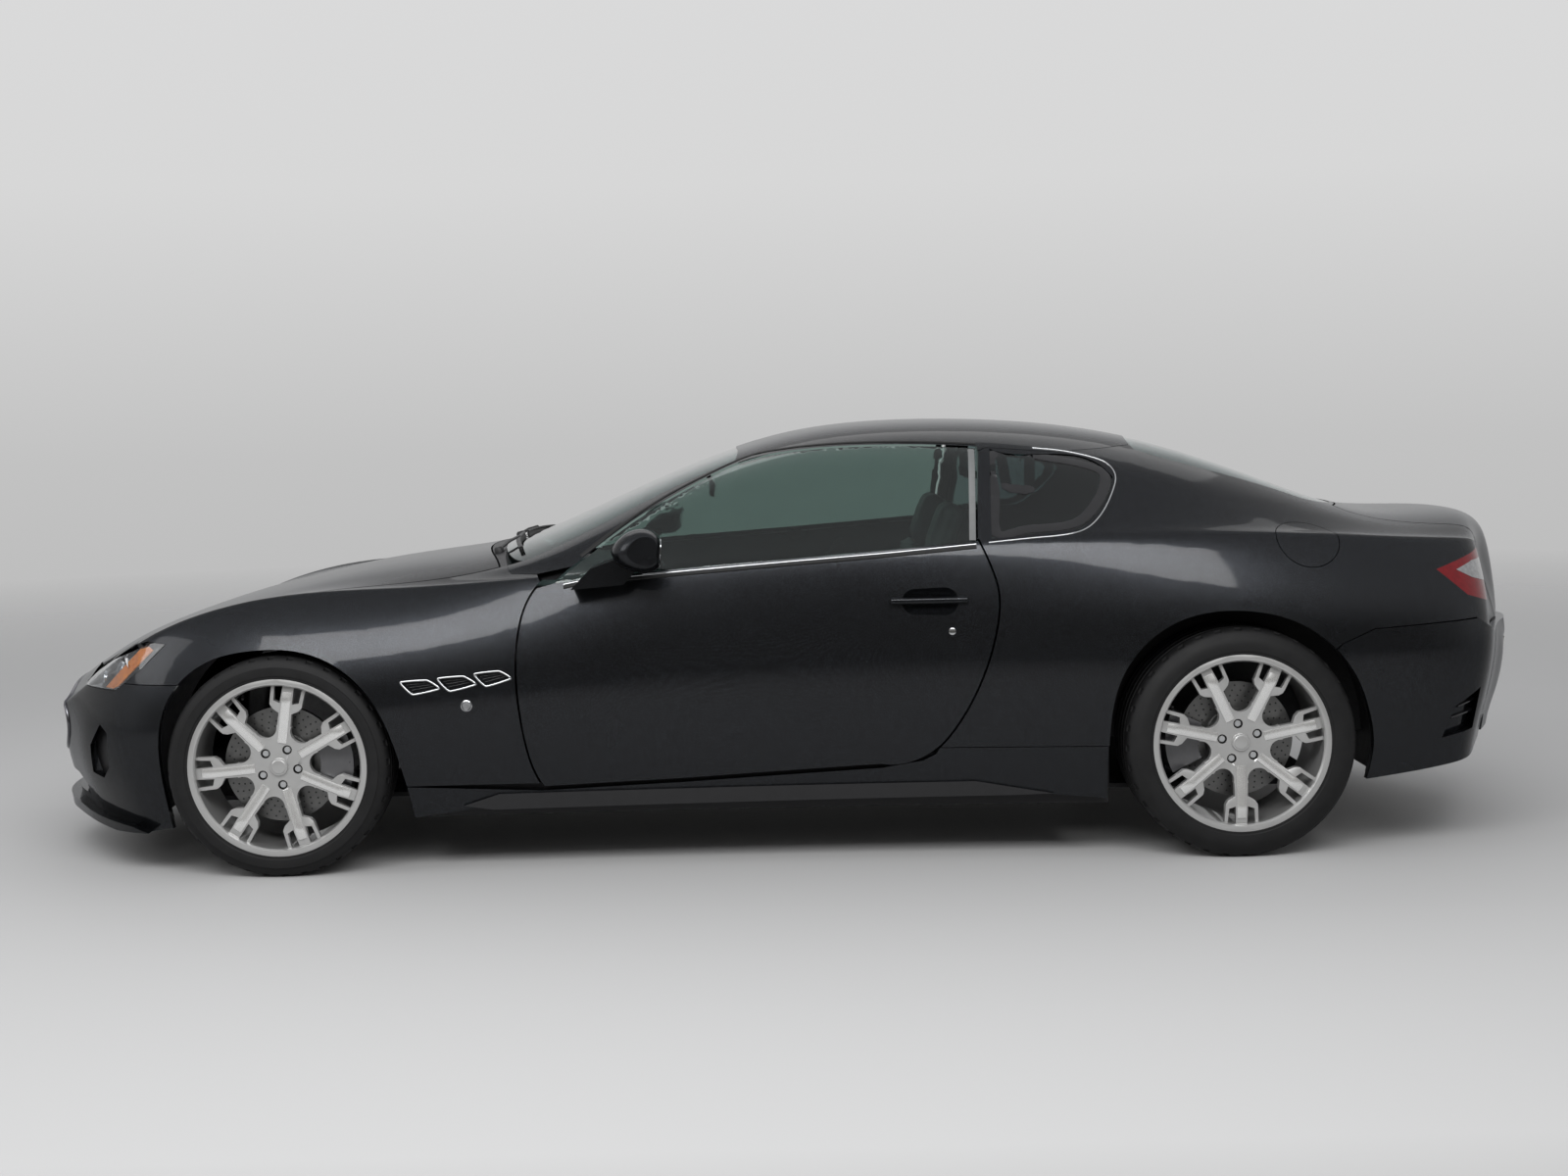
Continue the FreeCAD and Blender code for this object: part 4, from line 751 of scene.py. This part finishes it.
def skin_patch(name, outline, toward, sign):
    # the outer skin of a CAD node inside a convex (x, z) outline, as an open mesh
    bm = node_copy(name, 1e-5)
    away = Vector(toward).normalized()
    drop = [f for f in bm.faces if f.normal.dot(away) < 0.10 or f.calc_center_median().y * sign < 0]
    bmesh.ops.delete(bm, geom=drop, context="FACES")
    middle = Vector((sum(p[0] for p in outline) / len(outline), 0, sum(p[1] for p in outline) / len(outline)))
    for a, b in zip(outline, outline[1:] + outline[:1]):
        normal = Vector((b[1] - a[1], 0, a[0] - b[0])).normalized()
        if (middle - Vector((a[0], 0, a[1]))).dot(normal) > 0:
            normal = -normal
        geom = bm.verts[:] + bm.edges[:] + bm.faces[:]
        bmesh.ops.bisect_plane(bm, geom=geom, plane_co=(a[0], 0, a[1]), plane_no=normal, clear_outer=True)
    biggest_island(bm)
    return bm


def raised(bm, lift, thick):
    # an open skin moved out along its normals and closed to a sheet of some thickness
    bm.normal_update()
    for q, n in [(q, q.normal.copy()) for q in bm.verts]:
        q.co += n * lift
    bm.normal_update()
    thicken(bm, thick)


LAMP_SKIN = surface(["headlamps"])
for side, sign in SIDES:
    toward = (0.55, 0.8 * sign, 0.2)
    # clear cover, flush with the wing
    bm = skin_patch("headlamps", HEADLAMP_RIM, toward, sign)
    raised(bm, -0.0004, 0.0022)
    cover = piece("headlamp_cover_" + side, bm, CLEAR, "shell", 40)
    if side == "left":
        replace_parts(cover, "headlamps")
    # dark bucket: the lamp block without its outer face
    bm = node_copy("headlamps", 1e-5)
    away = Vector(toward).normalized()
    drop = [f for f in bm.faces if f.calc_center_median().y * sign < 0 or f.normal.dot(away) > 0.45]
    bmesh.ops.delete(bm, geom=drop, context="FACES")
    biggest_island(bm)
    thicken(bm, 0.0012)
    piece("headlamp_bucket_" + side, bm, GLOSS_BLACK, "shell", 30)
    bm = skin_patch("headlamps", AMBER_BAR, toward, sign)
    raised(bm, -0.004, 0.004)
    piece("headlamp_amber_bar_" + side, bm, AMBER, "shell", 40)
    # two projectors with bright rings
    lenses, rings = bmesh.new(), bmesh.new()
    for x, z, r in PROJECTORS:
        spot, normal = on_side(LAMP_SKIN, x, z, sign)
        seat = facing(spot - normal * 0.019, (normal * 0.8 + Vector((0.5, 0, 0))).normalized())
        lathe(lenses, [(0.0, 0.011), (r * 0.4, 0.0102), (r * 0.7, 0.008), (r * 0.9, 0.0045), (r, 0.001),
                       (r, -0.003), (0.0, -0.003)], 32, seat)
        lathe(rings, [(r + 0.001, 0.001), (r + 0.005, 0.0045), (r + 0.0075, 0.002), (r + 0.0075, -0.004),
                      (r + 0.001, -0.004), (r + 0.001, 0.001)], 36, seat)
    piece("headlamp_projectors_" + side, lenses, PROJECTOR, "shell", 40)
    piece("headlamp_rings_" + side, rings, CHROME, "shell", 40)
    # clear ribbed insert in the red lamp
    bm = skin_patch("tail_lamps", TAIL_INSERT, (-0.6, 0.75 * sign, 0.1), sign)
    raised(bm, 0.001, 0.003)
    piece("tail_lamp_insert_" + side, bm, FROST, "shell", 40)


# -------------------- seats
def pad(bm, half, place, radius, crown=0.0, pinch=0.0, seams=(), cuts=22):
    # a stuffed block: rounded, crowned on its +Z face, drawn in at its waist, with sewn channels
    part = bmesh.new()
    bmesh.ops.create_cube(part, size=2.0)
    bmesh.ops.subdivide_edges(part, edges=part.edges[:], cuts=cuts, use_grid_fill=True)
    hx, hy, hz = half
    for q in part.verts:
        u, w, t = q.co
        full = Vector((u * hx, w * hy, t * hz))
        core = Vector([max(radius - h, min(h - radius, c)) for h, c in zip(half, full)])
        out = full - core
        if out.length > 1e-9:
            full = core + out.normalized() * radius
        top = max(0.0, t)
        lift = crown * (1 - u * u) * (1 - w * w) * top
        for at, width, depth in seams:
            lift -= depth * math.exp(-((u - at) / width) ** 2) * top * (1 - max(abs(u), abs(w)) ** 8)
        full.z += lift
        full.x *= 1 - pinch * (1 - w * w) * (1 - abs(t)) * 0.5
        full.y *= 1 - pinch * (1 - u * u) * (1 - abs(t)) * 0.5
        q.co = full
    bmesh.ops.transform(part, matrix=place, verts=part.verts)
    add(bm, part)


def leaning(x, z, degrees):
    # a turn about a line across the car, for pads given in the upright position
    turned = Matrix.Translation((x, 0, z)) @ Matrix.Rotation(math.radians(degrees), 4, "Y")
    return turned @ Matrix.Translation((-x, 0, -z))


FORWARD = Matrix.Rotation(math.radians(90), 4, "Y")         # turns a pad's crown to face forward
CHANNELS = [(-0.62 + 0.31 * k, 0.035, 0.006) for k in range(5)]     # place, width and depth of each
upholstery, shells = bmesh.new(), bmesh.new()
for _, sign in SIDES:
    y = 0.368 * sign
    lean = leaning(-0.25, 0.395, -20)
    # cushion: middle panel and two thigh bolsters
    pad(upholstery, (0.235, 0.15, 0.055), Matrix.Translation((0.005, y, 0.35)), 0.04, 0.016, 0.04, CHANNELS)
    for t in (1, -1):
        place = Matrix.Translation((-0.002, y + t * 0.196, 0.354))
        pad(upholstery, (0.24, 0.05, 0.066), place, 0.044, 0.01, 0.02, (), 16)
    # backrest: middle panel, two side bolsters, shoulders and headrest
    place = lean @ Matrix.Translation((-0.285, y, 0.64)) @ FORWARD
    pad(upholstery, (0.262, 0.148, 0.048), place, 0.036, 0.018, 0.04, CHANNELS)
    for t in (1, -1):
        place = lean @ Matrix.Translation((-0.283, y + t * 0.19, 0.61)) @ FORWARD
        pad(upholstery, (0.235, 0.048, 0.06), place, 0.042, 0.01, 0.02, (), 16)
    place = lean @ Matrix.Translation((-0.297, y, 0.905)) @ FORWARD
    pad(upholstery, (0.052, 0.205, 0.05), place, 0.042, 0.006, 0.0, (), 14)
    place = lean @ Matrix.Translation((-0.301, y, 1.045)) @ FORWARD
    pad(upholstery, (0.092, 0.122, 0.04), place, 0.034, 0.01, 0.05, ((0.0, 0.05, 0.004),), 16)
    # hard shell behind the backrest, base and headrest posts
    place = lean @ Matrix.Translation((-0.342, y, 0.64)) @ FORWARD
    pad(shells, (0.29, 0.225, 0.014), place, 0.012, 0.0, 0.0, (), 8)
    pad(shells, (0.19, 0.18, 0.05), Matrix.Translation((-0.01, y, 0.24)), 0.012, 0.0, 0.0, (), 6)
    for t in (1, -1):
        plug(shells, 0.006, -0.045, 0.045, 12, lean @ Matrix.Translation((-0.301, y + t * 0.055, 0.955)))
seats = piece("front_seats_leather", upholstery, LEATHER, "shell", 50)
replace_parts(seats, "front_seats")
piece("front_seat_shells", shells, BLACK_PLASTIC, "shell", 40)

rear = bmesh.new()
for _, sign in SIDES:
    y = 0.33 * sign
    pad(rear, (0.225, 0.215, 0.055), Matrix.Translation((-0.60, y, 0.36)), 0.042, 0.018, 0.03, CHANNELS)
    place = leaning(-0.87, 0.40, -16) @ Matrix.Translation((-0.858, y, 0.62)) @ FORWARD
    pad(rear, (0.24, 0.212, 0.05), place, 0.04, 0.02, 0.03, CHANNELS)
outward(rear)
back_bench = piece("rear_seats_leather", rear, LEATHER, "shell", 50)
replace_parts(back_bench, "rear_seats")


# -------------------- cabin
def block(bm, lo, hi, width, segments=2, place=None):
    # a bevelled block between two corners
    part = bmesh.new()
    bmesh.ops.create_cube(part, size=1.0)
    bmesh.ops.scale(part, vec=[h - l for l, h in zip(lo, hi)], verts=part.verts)
    bmesh.ops.translate(part, vec=[(l + h) / 2 for l, h in zip(lo, hi)], verts=part.verts)
    bmesh.ops.bevel(part, geom=part.edges[:], offset=width, offset_type="OFFSET", affect="EDGES", segments=segments,
                    profile=0.5, material=-1, clamp_overlap=True)
    if place:
        bmesh.ops.transform(part, matrix=place, verts=part.verts)
    add(bm, part)


def side_block(bm, xs, ys, zs, sign, width, segments=2):
    # a bevelled block on one side of the car
    a, b = sorted(y * sign for y in ys)
    block(bm, (xs[0], a, zs[0]), (xs[1], b, zs[1]), width, segments)


DASH_TILT = (-1, 0, 0.25)       # vents and dials look back and a little up
DOOR_FACE = 0.7865              # inner face of a door
cabin, glossy, bright = bmesh.new(), bmesh.new(), bmesh.new()
# centre screen, vents, gear lever surround, armrest and rear-view mirror
block(glossy, (0.476, -0.105, 0.69), (0.50, 0.105, 0.80), 0.006)
block(glossy, (0.30, -0.055, 0.428), (0.48, 0.055, 0.436), 0.003)
for y in (-0.62, -0.17, 0.17, 0.62):
    vent = facing((0.474, y, 0.77), DASH_TILT)
    lathe(bright, [(0.03, 0.0), (0.036, 0.004), (0.04, 0.002), (0.04, -0.012), (0.03, -0.012), (0.03, 0.0)], 28,
          vent)
    plug(glossy, 0.031, -0.006, -0.014, 28, vent)
block(cabin, (-0.32, -0.085, 0.425), (-0.02, 0.085, 0.52), 0.022, 4)
lathe(cabin, [(0.0, 0.078), (0.014, 0.074), (0.021, 0.06), (0.019, 0.044), (0.01, 0.034), (0.026, 0.006),
              (0.03, 0.0), (0.0, 0.0)], 24, facing((0.385, 0, 0.432), (-0.12, 0, 1)))
block(glossy, (0.238, -0.115, 1.11), (0.256, 0.115, 1.164), 0.008, 3)
plug(glossy, 0.008, 0.0, 0.052, 12, facing((0.25, 0, 1.15), (0.30, 0, 1)))
# two instruments under the cowl
for y in (0.305, 0.432):
    lathe(bright, [(0.046, 0.0), (0.05, 0.004), (0.054, 0.0), (0.054, -0.014), (0.046, -0.014), (0.046, 0.0)], 32,
          facing((0.446, y, 0.822), DASH_TILT))
# stalks on the column
for t in (1, -1):
    lathe(cabin, [(0.0, 0.0), (0.009, 0.0), (0.007, 0.06), (0.01, 0.10), (0.008, 0.125), (0.0, 0.127)], 14,
          facing((0.412, 0.368 + 0.02 * t, 0.745), (0.0, t, 0.12)))
piece("console_and_stalks", cabin, LEATHER_DASH, "shell", 40)
piece("screen_and_inner_mirror", glossy, GLOSS_BLACK, "shell", 35)
piece("dial_and_vent_rings", bright, SATIN, "shell", 40)

# inner door panels: armrest, pull and speaker ring
for side, sign in SIDES:
    inner, metal = bmesh.new(), bmesh.new()
    side_block(inner, (-0.38, 0.30), (DOOR_FACE, 0.735), (0.585, 0.64), sign, 0.018, 4)
    side_block(inner, (-0.46, 0.66), (DOOR_FACE, 0.77), (0.40, 0.575), sign, 0.007)
    side_block(inner, (-0.50, 0.66), (DOOR_FACE, 0.77), (0.655, 0.80), sign, 0.007)
    lathe(metal, [(0.066, 0.0), (0.074, 0.004), (0.08, 0.0), (0.08, -0.006), (0.066, -0.006), (0.066, 0.0)], 36,
          facing((0.545, 0.768 * sign, 0.47), (0, -sign, 0)))
    side_block(metal, (0.16, 0.27), (0.764, 0.748), (0.705, 0.722), sign, 0.005)
    piece("door_lining_" + side, inner, LEATHER, "door_assembly_" + side, 40)
    piece("door_lining_metal_" + side, metal, SATIN, "door_assembly_" + side, 40)


# -------------------- outside fittings
SCREEN = surface(["windscreen", "cowl"])
NOSE = surface(["front_bumper", "bonnet"])
TAIL = surface(["rear_bumper", "boot_lid"])


def rounded_plate(bm, tree, centre, aim, back, half, lift, thick):
    # a plate with rounded corners laid on the surface found from a centre, stepping back and casting along an aim
    aim = Vector(aim)
    side = Vector((0, 0, 1)).cross(aim).normalized()
    up = aim.cross(side).normalized()
    part = bmesh.new()
    bmesh.ops.create_circle(part, cap_ends=True, cap_tris=True, segments=48, radius=1.0)
    spokes = [e for e in part.edges if len(e.link_faces) == 2]
    bmesh.ops.subdivide_edges(part, edges=spokes, cuts=7, use_grid_fill=True)
    for q in part.verts:
        r, a = math.hypot(q.co.x, q.co.y), math.atan2(q.co.y, q.co.x)
        k = (abs(math.cos(a)) ** 3.2 + abs(math.sin(a)) ** 3.2) ** (-1 / 3.2)
        u, w = r * k * math.cos(a) * half[0], r * k * math.sin(a) * half[1]
        spot, normal = seen_from(tree, Vector(centre) + side * u + up * w - aim * back, aim)
        q.co = spot + normal * lift
    outward(part)
    part.normal_update()
    if sum(f.normal.dot(aim) for f in part.faces) > 0:
        bmesh.ops.reverse_faces(part, faces=part.faces[:])
    thicken(part, thick)
    add(bm, part)


for side, sign in SIDES:
    bm = bmesh.new()
    rounded_plate(bm, surface(["mirror_" + side]), (0.38, 0.982 * sign, 0.985), (1, 0, 0), 0.2, (0.066, 0.036),
                  0.0016, 0.002)
    piece("mirror_glass_" + side, bm, CHROME, "door_assembly_" + side, 30)

# wipers on the foot of the windscreen
rubber, arms = bmesh.new(), bmesh.new()
for points in ([(0.842, 0.56), (0.868, 0.38), (0.884, 0.18), (0.89, 0.00)],
               [(0.88, -0.03), (0.876, -0.20), (0.858, -0.38), (0.832, -0.52)]):
    line = spline([(x, y, 0) for x, y in points], 40)
    spots = [seen_from(SCREEN, (p.x, p.y, 2.0), (0, 0, -1)) for p in line]
    strip(rubber, spots, 0.007, 0.012)
    strip(arms, [(p + n * 0.014, n) for p, n in spots], 0.014, 0.004)
    grip = spots[len(spots) // 2]
    foot = seen_from(SCREEN, (0.925, points[0][1] - 0.10 if points[0][1] > 0.1 else -0.22, 2.0), (0, 0, -1))
    mid = (grip[0] + foot[0]) / 2 + grip[1] * 0.012
    strip(arms, [(foot[0] + foot[1] * 0.01, foot[1]), (mid + grip[1] * 0.006, grip[1]),
                 (grip[0] + grip[1] * 0.018, grip[1])], 0.016, 0.006)
    lathe(arms, [(0.0, 0.02), (0.01, 0.02), (0.015, 0.014), (0.016, 0.0), (0.016, -0.004), (0.0, -0.004)], 20,
          facing(*foot))
piece("wiper_blades", rubber, SEAL, "shell", 40)
piece("wiper_arms", arms, BLACK_PLASTIC, "shell", 40)

# bright ring round the grille mouth, on the nose
MOUTH = [(0, 0.312), (0.18, 0.316), (0.323, 0.338), (0.405, 0.388), (0.42, 0.44), (0.386, 0.494), (0.273, 0.536),
         (0.131, 0.552), (0, 0.556)]
MOUTH += [(-y, z) for y, z in reversed(MOUTH[1:-1])]
bm = bmesh.new()
line = spline([(0, y, z) for y, z in MOUTH], 150, closed=True)
strip(bm, [seen_from(NOSE, (3.0, p.y, p.z), (-1, 0, 0)) for p in line], 0.013, 0.006, closed=True)
piece("grille_ring", bm, DARK_CHROME, "shell", 50)

# blank plate in the tail recess
bm = bmesh.new()
spot, normal = seen_from(TAIL, (-3.0, 0.0, 0.505), (1, 0, 0))
block(bm, (-0.1825, -0.08, 0.0), (0.1825, 0.08, 0.003), 0.0012, 2, facing(spot + normal * 0.006, normal))
piece("rear_plate_blank", bm, PLATE, "shell", 30)

# exhaust ends: rolled lips and a black plug deep in each pipe as painted shade; fins below the tail
lips, bore_shade, fins = bmesh.new(), bmesh.new(), bmesh.new()
for _, sign in SIDES:
    place = facing((-2.238, 0.396 * sign, 0.298), (-1, 0, 0))
    lathe(lips, [(0.0412, 0.0), (0.0425, 0.0035), (0.045, 0.0042), (0.0468, 0.002), (0.047, -0.012),
                 (0.0462, -0.016), (0.0412, -0.016), (0.0412, 0.0)], 48, place)
    # black plug inside the pipe: painted shade of its depth
    plug(bore_shade, 0.0408, -0.046, -0.05, 32, place)
for y in (-0.24, -0.12, 0.0, 0.12, 0.24):
    block(fins, (-2.262, y - 0.0035, 0.24), (-2.13, y + 0.0035, 0.288), 0.002)
block(fins, (-2.268, -0.30, 0.279), (-2.12, 0.30, 0.288), 0.003)
piece("exhaust_lips", lips, STEEL, "shell", 30)
piece("exhaust_bore_shade", bore_shade, PAINTED_SHADE_BLACK, "shell", 30)
piece("tail_fins", fins, BLACK_PLASTIC, "shell", 30)

# engine cover, inlet rails and carpets
cover, tubes, carpet = bmesh.new(), bmesh.new(), bmesh.new()
block(cover, (1.06, -0.225, 0.718), (1.56, 0.225, 0.742), 0.01, 3)
for y in (-0.262, 0.262):
    block(tubes, (1.04, y - 0.034, 0.716), (1.60, y + 0.034, 0.744), 0.012, 3)
for k in range(7):
    block(tubes, (1.10 + k * 0.064, -0.18, 0.7415), (1.118 + k * 0.064, 0.18, 0.7475), 0.002)
for _, sign in SIDES:
    side_block(carpet, (-0.36, 0.88), (0.125, 0.64), (0.1865, 0.1945), sign, 0.003)
block(carpet, (-2.20, -0.56, 0.4045), (-1.05, 0.56, 0.4105), 0.003)
piece("engine_cover", cover, BLACK_PLASTIC, "shell", 30)
piece("inlet_rails", tubes, CAST, "shell", 30)
piece("carpets", carpet, CARPET, "shell", 30)
